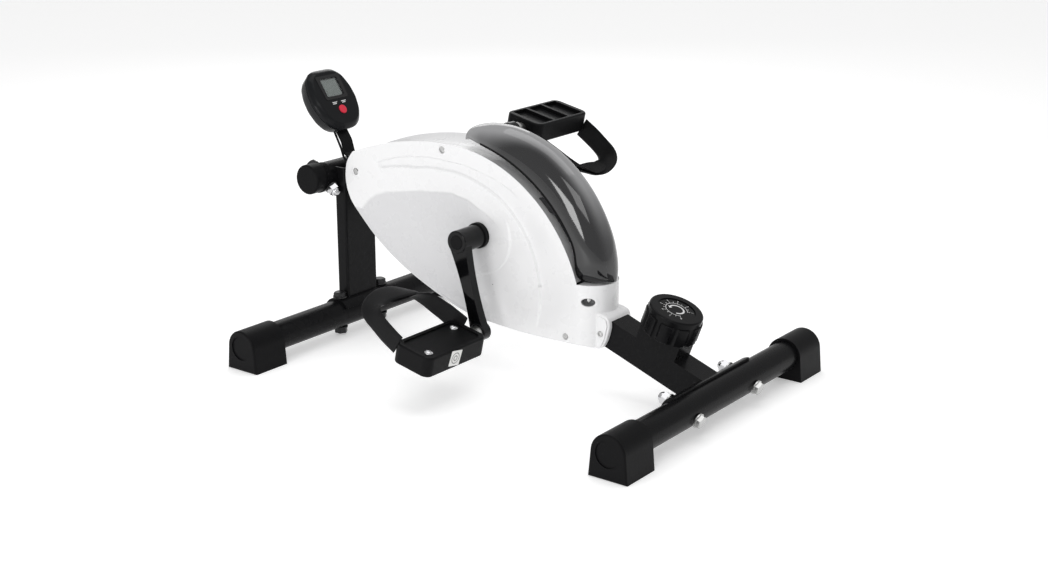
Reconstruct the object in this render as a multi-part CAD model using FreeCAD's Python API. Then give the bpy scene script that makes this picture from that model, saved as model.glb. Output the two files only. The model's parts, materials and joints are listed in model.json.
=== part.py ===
"""Magnetic mini pedal exerciser: two stabilizer tubes, a post, a sloping arm, a two-part
housing with a smoked cover, a belt-driven flywheel, cranks with strapped pedals, a load
knob and a small monitor.

Millimetres. +Z is up, +X runs towards the user's end (the load knob) and -Y is the near
side. Stations are first measured from the point on the floor midway between the two
stabilizers; every piece is then shifted by ORIGIN_X, so that the origin is the middle of
the floor area under the whole object.
"""

import FreeCAD, Part
import math
import os

Vec = FreeCAD.Vector
UP = Vec(0, 0, 1)
SIDE = Vec(0, 1, 0)

# ---------------------------------------------------------------- driving dimensions
ORIGIN_X = 20.35             # shift of every piece along X

TUBE_R = 16.0                # stabilizer tubes
TUBE_WALL = 1.5
TUBE_Z = 26.0                # tube axis above the floor
FRONT_X = 240.0
REAR_X = -240.0
TUBE_HALF = 187.0
FOOT_END = 191.0
FOOT_LEN = 47.0
FOOT_HALF_BASE = 22.0
FOOT_R = 19.5

POST_X0 = -251.0             # rear post, a flat tube
POST_X1 = -235.0
POST_HALF_Y = 25.0
POST_TOP = 196.0
POST_WALL = 1.8

ARM_TILT = 20.0              # arm falls this many degrees towards the front stabilizer
ARM_HALF = 15.0              # square arm tube, half side
ARM_WALL = 1.5
ARM_START_X = 104.0          # hidden upper end of the arm tube

SADDLE_T = 3.0               # curved plates between a tube and the frame
FRONT_SADDLE_HALF = 72.0
REAR_SADDLE_HALF = 40.0
BOLT_R = 4.0
WASHER_R = 8.0
WASHER_T = 1.4
NUT_FLATS = 13.0
NUT_H = 6.0
FRONT_BOLT_Y = 57.0
REAR_BOLT_Y = 34.0

HANDLE_X = -263.0
HANDLE_Z = 184.5
HANDLE_R = 15.0
HANDLE_HALF = 54.0
HANDLE_CAP_R = 17.0
HANDLE_CAP_LEN = 16.0
HANDLE_BOLT_Y = 33.0
HANDLE_TILT = -35.0          # the handle's saddle faces forward and down by this angle

HOUSING_HALF = 29.0          # housing, half width over its side faces
WALL = 2.5
EDGE_R = 7.0                 # rounding along the housing's rim
TOP_ARC = (-82.0, -115.0, 367.0)      # long flat arc over the top: centre x, z and radius
RIM_ARC = (-80.4, 66.3, 185.7)        # arc down the user's side, tangent to the first
NOSE_X = 89.0                # the housing's rounded end is a half cylinder about this line
NOSE_TOP = 122.0
NOSE_LOW = 50.5
SLEEVE_HALF = 20.5           # collar of the housing round the arm
SLEEVE_END = 134.0           # distance of its mouth from the front tube's axis, along the arm

COVER_X = -43.0              # smoked cover: an arch swept round this axis
COVER_Z = 105.0
COVER_BASE = 126.0
COVER_WALL = 2.5
# angle above +X in degrees, crown radius, half width
COVER_STATIONS = (
    (6.0, 163.5, 28.0),
    (20.0, 166.0, 27.0),
    (40.0, 168.0, 25.0),
    (60.0, 168.0, 24.0),
    (80.0, 166.0, 23.0),
    (92.0, 163.5, 22.0),
    (99.0, 159.5, 19.5),
    (104.0, 152.0, 14.5),
    (107.0, 144.0, 8.0),
)

CRANK_X = -38.0              # crank axis
CRANK_Z = 152.0
CRANK_LEN = 98.0
CRANK_LEAN = 15.5            # near crank at rest, degrees from straight down towards +X
AXLE_R = 8.5
CRANK_Y = 67.0               # outer face of each crank arm
ARM_T = 12.0                 # thickness of a crank arm

FLY_X = 38.0                 # flywheel axis
FLY_Z = 140.0
FLY_R = 60.0
FLY_Y0 = -12.0
FLY_Y1 = 2.0
RATIO = 6.0                  # flywheel turns per crank turn
BIG_PULLEY_R = 60.0
SMALL_PULLEY_R = BIG_PULLEY_R / RATIO
BELT_T = 2.0
BELT_Y0 = 6.5
BELT_Y1 = 11.5

PLATE_Y0 = 15.0              # frame side plates stand against the arm tube's sides
PLATE_T = 3.0

MAGNET_GAP = 3.0
BRACKET_R0 = FLY_R + 6.0
BRACKET_R1 = BRACKET_R0 + 4.0
SWING = 4.0                  # magnets stand this far off at the lightest load, degrees

PEDAL_Y = 127.0              # middle of a pedal
PEDAL_HALF_X = 24.0
PEDAL_HALF_Y = 47.0
PEDAL_T = 22.0
PEDAL_TILT = 12.0            # tread falls towards +X
STRAP_T = 2.6
RIVET_R = 4.0

KNOB_ALONG = 72.0            # knob axis from the front tube's axis, measured along the arm
BRACKET_HALF = 24.5
BRACKET_H = 17.5
KNOB_R = 30.0
KNOB_H = 27.0

MONITOR_TILT = 34.0
MONITOR_X = -265.9           # middle of the monitor's face
MONITOR_Z = 268.6
MONITOR_FRONT_T = 9.0
MONITOR_REAR_T = 16.0
LEAD_R = 1.3

FIT = 0.05                   # running clearance on a radius
CLEAR = 0.4                  # clearance between bodies


# ---------------------------------------------------------------- helpers
def box(x0, x1, y0, y1, z0, z1):
    return Part.makeBox(x1 - x0, y1 - y0, z1 - z0, Vec(x0, y0, z0))


def rod_y(x, z, r, y0, y1):
    """Cylinder along Y."""
    return Part.makeCylinder(r, y1 - y0, Vec(x, y0, z), SIDE)


def ring_y(x, z, r_out, r_in, y0, y1):
    return rod_y(x, z, r_out, y0, y1).cut(rod_y(x, z, r_in, y0, y1))


def mirrored(shape):
    """Copy on the other side of the object's middle plane."""
    return shape.mirror(Vec(0, 0, 0), SIDE)


def polar(cx, cz, r, degrees, y=0.0):
    a = math.radians(degrees)
    return Vec(cx + r * math.cos(a), y, cz + r * math.sin(a))


def arc(a, b, c):
    return Part.Arc(a, b, c).toShape()


def line(a, b):
    return Part.LineSegment(a, b).toShape()


def prism_y(edges, y0, y1):
    """Solid between y0 and y1 from a closed chain of edges lying in the plane y = 0."""
    face = Part.Face(Part.Wire(Part.__sortEdges__(edges)))
    face.translate(Vec(0, y0, 0))
    return face.extrude(Vec(0, y1 - y0, 0))


def polygon_y(points, y0, y1):
    corners = [Vec(x, 0, z) for x, z in points]
    edges = [line(a, b) for a, b in zip(corners, corners[1:] + corners[:1])]
    return prism_y(edges, y0, y1)


def fillet(shape, radius, chosen):
    """Round the edges that the test chooses."""
    edges = [edge for edge in shape.Edges if chosen(edge)]
    return shape.makeFillet(radius, edges)


def hexagon(flats, height, base, axis):
    """Hexagonal prism standing on a base point."""
    radius = flats / math.sqrt(3)
    corners = [Vec(radius * math.cos(math.radians(60 * i)), radius * math.sin(math.radians(60 * i)), 0)
               for i in range(7)]
    prism = Part.Face(Part.makePolygon(corners)).extrude(Vec(0, 0, height))
    prism.Placement = FreeCAD.Placement(base, FreeCAD.Rotation(UP, axis))
    return prism


def smooth_tube(points, radius, radii):
    """Round lead along straight runs joined by tangent arcs, one radius for each inner point."""
    edges = []
    start = points[0]
    for before, corner, after, bend in zip(points, points[1:], points[2:], radii):
        into = (corner - before).normalize()
        out = (after - corner).normalize()
        half_turn = math.acos(max(-1.0, min(1.0, into.dot(out)))) / 2
        back = bend * math.tan(half_turn)
        first = corner - into * back
        last = corner + out * back
        middle_dir = (out - into).normalize()
        middle = corner + middle_dir * (bend / math.cos(half_turn) - bend)
        edges.append(line(start, first))
        edges.append(arc(first, middle, last))
        start = last
    edges.append(line(start, points[-1]))
    path = Part.Wire(edges)
    section = Part.Wire(Part.makeCircle(radius, points[0], points[1] - points[0]))
    return path.makePipeShell([section], True, False)


# ---------------------------------------------------------------- the arm's own directions
ARM_DIR = Vec(-math.cos(math.radians(ARM_TILT)), 0, math.sin(math.radians(ARM_TILT)))
ARM_UP = Vec(math.sin(math.radians(ARM_TILT)), 0, math.cos(math.radians(ARM_TILT)))
ARM_ROOT = Vec(FRONT_X, 0, TUBE_Z)


def on_arm(along, up=0.0, y=0.0):
    """Point at a distance from the front tube's axis along the arm, and off the arm's axis."""
    return ARM_ROOT + ARM_DIR * along + ARM_UP * up + Vec(0, y, 0)


def arm_box(along0, along1, half_y, up0, up1):
    """Box square to the arm."""
    block = Part.makeBox(along1 - along0, 2 * half_y, up1 - up0, Vec(along0, -half_y, up0))
    turn = FreeCAD.Rotation(SIDE, 180 + ARM_TILT)
    block = block.mirror(Vec(0, 0, 0), UP)
    block.Placement = FreeCAD.Placement(ARM_ROOT, turn).multiply(block.Placement)
    return block


ARM_END = (FRONT_X - ARM_START_X) / math.cos(math.radians(ARM_TILT))


# ---------------------------------------------------------------- stabilizers and feet
def stabilizer(x, bolt_y, bolt_axis):
    tube = ring_y(x, TUBE_Z, TUBE_R, TUBE_R - TUBE_WALL, -TUBE_HALF, TUBE_HALF)
    for y in (-bolt_y, bolt_y):
        middle = Vec(x, y, TUBE_Z)
        hole = Part.makeCylinder(BOLT_R, 4 * TUBE_R, middle - bolt_axis * 2 * TUBE_R, bolt_axis)
        tube = tube.cut(hole)
    return tube


def foot(x, sign):
    """Moulded end cap: round over the tube, straight flared sides and a flat base."""
    reach = math.hypot(FOOT_HALF_BASE, TUBE_Z)
    lean = math.atan2(TUBE_Z, FOOT_HALF_BASE)
    touch = math.degrees(math.acos(FOOT_R / reach) - lean)
    right = polar(x, TUBE_Z, FOOT_R, touch)
    left = polar(x, TUBE_Z, FOOT_R, 180 - touch)
    base_right = Vec(x + FOOT_HALF_BASE, 0, 0)
    base_left = Vec(x - FOOT_HALF_BASE, 0, 0)
    edges = [
        arc(right, Vec(x, 0, TUBE_Z + FOOT_R), left),
        line(left, base_left),
        line(base_left, base_right),
        line(base_right, right),
    ]
    body = prism_y(edges, -FOOT_END, -FOOT_END + FOOT_LEN)
    body = body.makeFillet(2.0, [e for e in body.Edges if e.CenterOfMass.y < -FOOT_END + 0.1])
    body = body.cut(rod_y(x, TUBE_Z, TUBE_R + 0.1, -TUBE_HALF, 0))
    body = body.cut(rod_y(x, TUBE_Z, 13.5, -FOOT_END - 1, -FOOT_END + 1.2))
    body = body.cut(box(x - 9, x + 9, -FOOT_END + 8, -FOOT_END + FOOT_LEN - 8, -1, 2.5))
    return body if sign < 0 else mirrored(body)


def saddle(x, z, r_in, facing, half_y, half_angle, bolt_y):
    """Curved plate hugging a tube, centred on a direction given in degrees above +X."""
    points = []
    for r in (r_in + SADDLE_T, r_in):
        points.append([polar(x, z, r, facing + a) for a in (-half_angle, 0, half_angle)])
    outer, inner = points
    edges = [
        arc(*outer),
        line(outer[2], inner[2]),
        arc(*inner),
        line(inner[0], outer[0]),
    ]
    plate = prism_y(edges, -half_y, half_y)
    axis = polar(0, 0, 1, facing)
    for y in (-bolt_y, bolt_y):
        hole = Part.makeCylinder(BOLT_R, 3 * r_in, Vec(x, y, z), axis)
        plate = plate.cut(hole)
    return plate


# ---------------------------------------------------------------- frame
def rear_post():
    outer = box(POST_X0, POST_X1, -POST_HALF_Y, POST_HALF_Y, TUBE_Z, POST_TOP)
    outer = fillet(outer, 3.0, lambda e: abs(e.tangentAt(e.FirstParameter).z) > 0.99)
    inner = box(POST_X0 + POST_WALL, POST_X1 - POST_WALL, -POST_HALF_Y + POST_WALL,
                POST_HALF_Y - POST_WALL, 0, POST_TOP + 1)
    post = outer.cut(inner)
    post = post.cut(rod_y(REAR_X, TUBE_Z, TUBE_R + SADDLE_T, -60, 60))
    post = post.cut(rod_y(HANDLE_X, HANDLE_Z, HANDLE_R + SADDLE_T, -60, 60))
    return post


def arm_tube():
    tube = arm_box(0, ARM_END, ARM_HALF, -ARM_HALF, ARM_HALF)
    hollow = ARM_HALF - ARM_WALL
    tube = tube.cut(arm_box(-1, ARM_END + 1, hollow, -hollow, hollow))
    tube = tube.cut(rod_y(FRONT_X, TUBE_Z, TUBE_R + SADDLE_T, -60, 60))
    spindle_hole = Part.makeCylinder(9.0, ARM_HALF * 1.5, on_arm(KNOB_ALONG), ARM_UP)
    return tube.cut(spindle_hole)


def frame_plate():
    """Far side plate from the post to the arm, with bearing and axle holes."""
    outline = (
        (POST_X1, 170), (POST_X1, 190), (-160, 205), (-70, 205), (0, 190), (62, 158),
        (74, 122), (104, 90), (116, 84), (108, 60), (88, 66), (20, 62), (-60, 66), (-135, 100),
        (-200, 150),
    )
    plate = polygon_y(outline, PLATE_Y0, PLATE_Y0 + PLATE_T)
    plate = plate.cut(rod_y(FLY_X, FLY_Z, 5.0, 0, 40))
    for x, z, r in ((-185, 172, 16), (-135, 160, 26), (-95, 108, 20), (-50, 95, 14), (62, 92, 14)):
        plate = plate.cut(rod_y(x, z, r, 0, 40))
    housing = rod_y(CRANK_X, CRANK_Z, 21.5, PLATE_Y0, 26.0)
    return plate.fuse(housing).cut(rod_y(CRANK_X, CRANK_Z, 17.5, 0, 40))


def plate_spacers():
    """Tubes that hold the two side plates apart, in a group."""
    places = ((-205, 178), (-130, 196), (-60, 76))
    tubes = [ring_y(x, z, 5.0, 2.6, -PLATE_Y0, PLATE_Y0) for x, z in places]
    return Part.makeCompound(tubes)


def crank_bearings():
    near = ring_y(CRANK_X, CRANK_Z, 17.5, AXLE_R + FIT, -25.5, -15.5)
    return Part.makeCompound([near, mirrored(near)])


def axle_collars():
    """Black collars where the crank axle leaves the housing."""
    near = ring_y(CRANK_X, CRANK_Z, 14.0, AXLE_R + 0.6, -34.0, -HOUSING_HALF)
    near = fillet(near, 1.0, lambda e: e.CenterOfMass.y < -33.9 and e.Length > 80)
    return Part.makeCompound([near, mirrored(near)])


# ---------------------------------------------------------------- fasteners
def hex_bolt(seat, axis, length):
    """Hexagon head with a low dome, standing on its washer; the shank runs along axis."""
    head = hexagon(NUT_FLATS, 5.0, seat, axis * -1)
    dome = Part.makeSphere(11.0, seat + axis * 4.5)
    head = head.common(dome)
    shank = Part.makeCylinder(BOLT_R, length, seat, axis)
    return head.fuse(shank)


def cap_nut(seat, axis):
    """Hexagon nut with a domed end, pointing along axis."""
    nut = hexagon(NUT_FLATS, NUT_H, seat, axis)
    dome = Part.makeSphere(5.6, seat + axis * NUT_H)
    bore = Part.makeCylinder(BOLT_R, 7.0, seat, axis)
    return nut.fuse(dome).cut(bore)


def plain_nut(seat, axis):
    return hexagon(NUT_FLATS, NUT_H, seat, axis).cut(Part.makeCylinder(BOLT_R, NUT_H, seat, axis))


def washer(seat, axis):
    disc = Part.makeCylinder(WASHER_R, WASHER_T, seat, axis)
    return disc.cut(Part.makeCylinder(BOLT_R, WASHER_T, seat, axis))


def bolt_sets():
    """Bolts, washers and cap nuts of the stabilizers and the handle, as three groups.

    The rear bolts go in from above, so their nuts are plain ones under the tube.
    """
    bolts = []
    washers = []
    nuts = []
    saddle_out = TUBE_R + SADDLE_T
    handle_out = HANDLE_R + SADDLE_T
    handle_axis = polar(0, 0, 1, HANDLE_TILT)
    sets = (
        (ARM_ROOT, FRONT_BOLT_Y, ARM_DIR, TUBE_R, saddle_out, True),
        (Vec(REAR_X, 0, TUBE_Z), REAR_BOLT_Y, UP * -1, saddle_out, TUBE_R, False),
        (Vec(HANDLE_X, 0, HANDLE_Z), HANDLE_BOLT_Y, handle_axis, HANDLE_R, handle_out, True),
    )
    for centre, bolt_y, axis, head_side, nut_side, domed in sets:
        for y in (-bolt_y, bolt_y):
            middle = centre + Vec(0, y, 0)
            head_seat = middle - axis * (head_side + WASHER_T)
            nut_seat = middle + axis * (nut_side + WASHER_T)
            reach = head_side + nut_side + 2 * WASHER_T + NUT_H
            bolts.append(hex_bolt(head_seat, axis, reach))
            washers.append(washer(head_seat, axis))
            washers.append(washer(nut_seat - axis * WASHER_T, axis))
            if domed:
                nuts.append(cap_nut(nut_seat, axis))
            else:
                bolts.append(plain_nut(nut_seat, axis))
    return Part.makeCompound(bolts), Part.makeCompound(washers), Part.makeCompound(nuts)


# ---------------------------------------------------------------- handle
def handle_bar():
    bar = ring_y(HANDLE_X, HANDLE_Z, HANDLE_R, HANDLE_R - 1.5, -HANDLE_HALF, HANDLE_HALF)
    axis = polar(0, 0, 1, HANDLE_TILT)
    for y in (-HANDLE_BOLT_Y, HANDLE_BOLT_Y):
        start = Vec(HANDLE_X, y, HANDLE_Z) - axis * 2 * HANDLE_R
        bar = bar.cut(Part.makeCylinder(BOLT_R, 4 * HANDLE_R, start, axis))
    return bar


def handle_caps():
    end = HANDLE_HALF + 3.0
    cap = rod_y(HANDLE_X, HANDLE_Z, HANDLE_CAP_R, -end, -end + HANDLE_CAP_LEN)
    cap = fillet(cap, 2.0, lambda e: e.CenterOfMass.y < -end + 0.1)
    cap = cap.cut(rod_y(HANDLE_X, HANDLE_Z, HANDLE_R, -HANDLE_HALF, 0))
    return Part.makeCompound([cap, mirrored(cap)])


# ---------------------------------------------------------------- housing
def housing_outline():
    """Closed side outline without the rounded nose, as edges in the plane y = 0."""
    top_x, top_z, top_r = TOP_ARC
    rim_x, rim_z, rim_r = RIM_ARC
    meeting = math.degrees(math.atan2(rim_z - top_z, rim_x - top_x))
    tip_low = Vec(-229, 0, 163)
    tip_high = polar(top_x, top_z, top_r, 111.2)
    top_end = polar(rim_x, rim_z, rim_r, meeting)
    rim_end = polar(rim_x, rim_z, rim_r, -4)
    floor_left = Vec(-45, 0, 52.5)
    return [
        arc(tip_low, Vec(-236.5, 0, 190), tip_high),
        arc(tip_high, polar(top_x, top_z, top_r, 99), top_end),
        arc(top_end, polar(rim_x, rim_z, rim_r, 45), rim_end),
        line(rim_end, floor_left),
        arc(floor_left, Vec(-140, 0, 90), tip_low),
    ]


def is_rim_edge(edge, half):
    """True for the long edges over the top of the housing, on either side face."""
    on_side = abs(abs(edge.CenterOfMass.y) - half) < 0.01
    return on_side and edge.BoundBox.ZMax > 228 and edge.Length > 100


def housing_block(inset):
    """Both housing halves as one block, shrunk all round by the inset."""
    half = HOUSING_HALF - inset
    wire = Part.Wire(Part.__sortEdges__(housing_outline()))
    face = Part.Face(wire)
    if inset:
        face = face.makeOffset2D(-inset)
    face.translate(Vec(0, -half, 0))
    body = face.extrude(Vec(0, 2 * half, 0))
    body = fillet(body, EDGE_R - inset, lambda e: is_rim_edge(e, half))
    low = NOSE_LOW + inset
    high = NOSE_TOP - inset
    body = body.cut(box(NOSE_X, NOSE_X + 60, -half, half, 0, high))
    nose = Part.makeCylinder(half, high - low, Vec(NOSE_X, 0, low), UP)
    nose = fillet(nose, 4.0, lambda e: abs(e.CenterOfMass.z - low) < 0.01)
    nose = nose.common(box(NOSE_X, NOSE_X + 60, -half, half, low, high))
    return body.fuse(nose)


def sleeve_block(inset):
    """Collar round the arm's upper end."""
    start = SLEEVE_END - inset
    collar = arm_box(start, ARM_END + 12, SLEEVE_HALF - inset, -17.5 + inset, 18.0 - inset)
    if inset:
        return collar
    mouth = on_arm(start)
    return fillet(collar, 3.5, lambda e: abs((e.CenterOfMass - mouth).dot(ARM_DIR)) < 0.1)


def arch_wire(degrees, crown, half_width, inset):
    """Closed section of the cover: half an ellipse standing on its base line."""
    base = polar(COVER_X, COVER_Z, COVER_BASE, degrees)
    out = polar(0, 0, 1, degrees)
    rise = crown - COVER_BASE - inset
    half = half_width - inset
    count = 12
    points = []
    for i in range(count + 1):
        a = math.pi * i / count
        points.append(base - SIDE * (half * math.cos(a)) + out * (rise * math.sin(a)))
    curve = Part.BSplineCurve()
    curve.interpolate(points)
    return Part.Wire([curve.toShape(), line(points[-1], points[0])])


def arch_solid(inset):
    wires = [arch_wire(a, crown, half, inset) for a, crown, half in COVER_STATIONS]
    return Part.makeLoft(wires, True, False)


def smoked_cover(block):
    return arch_solid(0.0).cut(arch_solid(COVER_WALL)).cut(block)


def near_shell(block):
    """Near housing half: outer block less its hollow, cut at the middle plane."""
    shell = block.fuse(sleeve_block(0.0))
    shell = shell.cut(housing_block(WALL))
    for x, z, depth in SHELL_SCREWS:
        boss = rod_y(x, z, SCREW_HEAD_R + 2.0, -HOUSING_HALF, -HOUSING_HALF + depth + 2.0)
        shell = shell.fuse(boss.common(block))
    arm_gap = ARM_HALF + 0.1
    shell = shell.cut(arm_box(SLEEVE_END - 20, ARM_END + 13, arm_gap + PLATE_T, -arm_gap, arm_gap))
    plate_gap = PLATE_Y0 + PLATE_T + CLEAR
    shell = shell.cut(box(-300, -226, -plate_gap, 1, 0, 200))
    shell = shell.common(box(-300, 200, -HOUSING_HALF, 0, 0, 300))
    shell = shell.cut(box(-300, POST_X1 + 2, -POST_HALF_Y - 0.1, 1, 0, 217))
    shell = shell.cut(rod_y(CRANK_X, CRANK_Z, AXLE_R + 0.6, -40, 0))
    shell = shell.cut(rod_y(FLY_X, FLY_Z, FLY_R + 5, -16, 0))
    for x, z, depth in SHELL_SCREWS:
        shell = shell.cut(rod_y(x, z, SCREW_HEAD_R, -HOUSING_HALF - 1, -HOUSING_HALF + depth))
    return shell


SCREW_HEAD_R = 3.4
# x, z and counterbore depth of each housing screw
SHELL_SCREWS = ((-214, 196, 1.6), (-88, 240, 1.6), (103, 106, 14.0), (76, 62, 1.6))


def shell_screws():
    """Pan-head screws in the counterbores of the near and far housing halves."""
    screws = []
    for x, z, depth in SHELL_SCREWS:
        seat = -HOUSING_HALF + depth
        screw = rod_y(x, z, 3.0, seat - 1.4, seat)
        screws.append(screw)
        screws.append(mirrored(screw))
    return Part.makeCompound(screws)


# ---------------------------------------------------------------- drive
def crank_axle():
    return rod_y(CRANK_X, CRANK_Z, AXLE_R, -CRANK_Y + 6, CRANK_Y - 6)


def drive_pulley():
    """Large belt pulley with a rim, a web with round windows and a hub."""
    y0 = BELT_Y0 - 1
    y1 = BELT_Y1 + 1
    pulley = rod_y(CRANK_X, CRANK_Z, BIG_PULLEY_R + 1.5, y0, y1)
    groove = ring_y(CRANK_X, CRANK_Z, BIG_PULLEY_R + 2, BIG_PULLEY_R, BELT_Y0, BELT_Y1)
    pulley = pulley.cut(groove)
    pulley = pulley.cut(ring_y(CRANK_X, CRANK_Z, BIG_PULLEY_R - 7, 17, y1 - 2, y1))
    for i in range(6):
        centre = polar(CRANK_X, CRANK_Z, 37, 60 * i)
        pulley = pulley.cut(rod_y(centre.x, centre.z, 10, y0, y1))
    pulley = pulley.fuse(rod_y(CRANK_X, CRANK_Z, 13, -12, y1))
    return pulley.cut(rod_y(CRANK_X, CRANK_Z, AXLE_R, -20, 20))


def crank_end(sign):
    """Pedal end of a crank at rest: the near one points down, the far one up."""
    lean = math.radians(CRANK_LEAN)
    x = CRANK_X - sign * CRANK_LEN * math.sin(lean)
    z = CRANK_Z + sign * CRANK_LEN * math.cos(lean)
    return x, z


def crank_arm(sign):
    """Hub, tapering arm and pedal boss in one piece, built on the near side."""
    end_x, end_z = crank_end(sign)
    outer = -CRANK_Y
    hub = rod_y(CRANK_X, CRANK_Z, 12.5, outer, -36.0)
    boss = rod_y(end_x, end_z, 10.0, outer, outer + ARM_T)
    hub = fillet(hub, 1.5, lambda e: e.CenterOfMass.y < outer + 0.1)
    boss = fillet(boss, 1.5, lambda e: e.CenterOfMass.y < outer + 0.1)
    along = Vec(end_x - CRANK_X, 0, end_z - CRANK_Z).normalize()
    across = Vec(-along.z, 0, along.x)
    hub_c = Vec(CRANK_X, 0, CRANK_Z)
    end_c = Vec(end_x, 0, end_z)
    waist = hub_c + along * (CRANK_LEN * 0.55)
    root = hub_c + along * 4.0
    tip = end_c - along * 3.0
    left = [root + across * 11.0, waist + across * 6.5, tip + across * 8.6]
    right = [root - across * 11.0, waist - across * 6.5, tip - across * 8.6]
    sides = []
    for run in (left, right):
        curve = Part.BSplineCurve()
        curve.interpolate(run)
        sides.append(curve.toShape())
    edges = sides + [line(left[0], right[0]), line(left[2], right[2])]
    web = prism_y(edges, outer + 0.6, outer + ARM_T - 1.0)
    arm = hub.fuse([boss, web])
    arm = arm.cut(rod_y(CRANK_X, CRANK_Z, AXLE_R, outer + 6, -30))
    arm = arm.cut(rod_y(end_x, end_z, 6.0, outer - 1, outer + ARM_T + 1))
    arm = arm.cut(rod_y(CRANK_X, CRANK_Z, 8.0, outer - 1, outer + 1.5))
    return arm if sign < 0 else mirrored(arm)


def crank_caps():
    """Low round plugs over the axle ends."""
    near = rod_y(CRANK_X, CRANK_Z, 8.0, -CRANK_Y - 0.8, -CRANK_Y + 1.5)
    near = fillet(near, 0.8, lambda e: e.CenterOfMass.y < -CRANK_Y - 0.7)
    return Part.makeCompound([near, mirrored(near)])


def pedal_spindle(sign):
    """Threaded into the crank, with a collar, then a plain shaft inside the pedal."""
    x, z = crank_end(sign)
    inner = -CRANK_Y + ARM_T
    thread = rod_y(x, z, 6.0, -CRANK_Y, inner)
    collar = rod_y(x, z, 8.0, -CRANK_Y - 5.0, -CRANK_Y)
    neck = rod_y(x, z, 6.0, -CRANK_Y - 13.0, -CRANK_Y)
    shaft = rod_y(x, z, 4.5, -PEDAL_Y - PEDAL_HALF_Y + 10, -CRANK_Y)
    spindle = thread.fuse([collar, neck, shaft]).removeSplitter()
    return spindle if sign < 0 else mirrored(spindle)


def sensor_magnet():
    centre = polar(CRANK_X, CRANK_Z, 52, 40)
    return rod_y(centre.x, centre.z, 4.0, BELT_Y0 - 3.1, BELT_Y0 - 1)


def flywheel():
    """Heavy rim on a web with a bearing hub."""
    wheel = rod_y(FLY_X, FLY_Z, FLY_R, FLY_Y0, FLY_Y1)
    wheel = fillet(wheel, 1.2, lambda e: e.Length > 300)
    for y0, y1 in ((FLY_Y0, FLY_Y0 + 4), (FLY_Y1 - 4, FLY_Y1)):
        wheel = wheel.cut(ring_y(FLY_X, FLY_Z, 46, 19, y0, y1))
    for i in range(5):
        centre = polar(FLY_X, FLY_Z, 32.5, 72 * i + 18)
        wheel = wheel.cut(rod_y(centre.x, centre.z, 8, FLY_Y0, FLY_Y1))
    return wheel.cut(rod_y(FLY_X, FLY_Z, 13, FLY_Y0, FLY_Y1))


def flywheel_bearings():
    near = ring_y(FLY_X, FLY_Z, 13, 5.0 + FIT, FLY_Y0, FLY_Y0 + 6)
    far = ring_y(FLY_X, FLY_Z, 13, 5.0 + FIT, FLY_Y1 - 6, FLY_Y1)
    return Part.makeCompound([near, far])


def flywheel_pulley():
    pulley = rod_y(FLY_X, FLY_Z, SMALL_PULLEY_R + 1.5, FLY_Y1, BELT_Y1 + 1)
    groove = ring_y(FLY_X, FLY_Z, SMALL_PULLEY_R + 2, SMALL_PULLEY_R, BELT_Y0, BELT_Y1)
    return pulley.cut(groove).cut(rod_y(FLY_X, FLY_Z, 5.0 + FIT, 0, 20))


def drive_belt():
    """Closed loop with its two straight runs tangent to both pulleys."""
    apart = math.hypot(FLY_X - CRANK_X, FLY_Z - CRANK_Z)
    slope = math.degrees(math.atan2(FLY_Z - CRANK_Z, FLY_X - CRANK_X))
    spread = math.degrees(math.acos((BIG_PULLEY_R - SMALL_PULLEY_R) / apart))
    loops = []
    for extra in (CLEAR / 2, BELT_T):
        big = BIG_PULLEY_R + extra
        small = SMALL_PULLEY_R + extra
        big_top = polar(CRANK_X, CRANK_Z, big, slope + spread)
        big_low = polar(CRANK_X, CRANK_Z, big, slope - spread)
        small_top = polar(FLY_X, FLY_Z, small, slope + spread)
        small_low = polar(FLY_X, FLY_Z, small, slope - spread)
        edges = [
            arc(big_top, polar(CRANK_X, CRANK_Z, big, slope + 180), big_low),
            line(big_low, small_low),
            arc(small_low, polar(FLY_X, FLY_Z, small, slope), small_top),
            line(small_top, big_top),
        ]
        loops.append(prism_y(edges, BELT_Y0 + 0.4, BELT_Y1 - 0.4))
    return loops[1].cut(loops[0])


def flywheel_axle():
    return rod_y(FLY_X, FLY_Z, 5.0, -25.0, 25.0)


def axle_nuts():
    near = hexagon(15.0, 5.0, Vec(FLY_X, -PLATE_Y0 - PLATE_T, FLY_Z), SIDE * -1)
    near = near.cut(rod_y(FLY_X, FLY_Z, 5.0, -40, 0))
    return Part.makeCompound([near, mirrored(near)])


# ---------------------------------------------------------------- magnet brake
PIVOT = polar(FLY_X, FLY_Z, (BRACKET_R0 + BRACKET_R1) / 2, 204)


def sector(r0, r1, a0, a1, y0, y1):
    """Part of a ring about the flywheel's axis."""
    middle = (a0 + a1) / 2
    edges = [
        arc(polar(FLY_X, FLY_Z, r0, a0), polar(FLY_X, FLY_Z, r0, middle), polar(FLY_X, FLY_Z, r0, a1)),
        line(polar(FLY_X, FLY_Z, r0, a1), polar(FLY_X, FLY_Z, r1, a1)),
        arc(polar(FLY_X, FLY_Z, r1, a1), polar(FLY_X, FLY_Z, r1, middle), polar(FLY_X, FLY_Z, r1, a0)),
        line(polar(FLY_X, FLY_Z, r1, a0), polar(FLY_X, FLY_Z, r0, a0)),
    ]
    return prism_y(edges, y0, y1)


def swung(shape):
    """Turned away from the flywheel about the pivot, as at the lightest load."""
    turned = shape.copy()
    turned.rotate(PIVOT, SIDE, SWING)
    return turned


def magnet_bracket():
    bracket = sector(BRACKET_R0, BRACKET_R1, 206, 288, FLY_Y0, FLY_Y1 - 1)
    eye = rod_y(PIVOT.x, PIVOT.z, 6.5, FLY_Y0, FLY_Y1 - 1)
    bracket = bracket.fuse(eye).removeSplitter()
    bracket = bracket.cut(rod_y(PIVOT.x, PIVOT.z, 3.0 + FIT, -40, 40))
    return swung(bracket)


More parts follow.
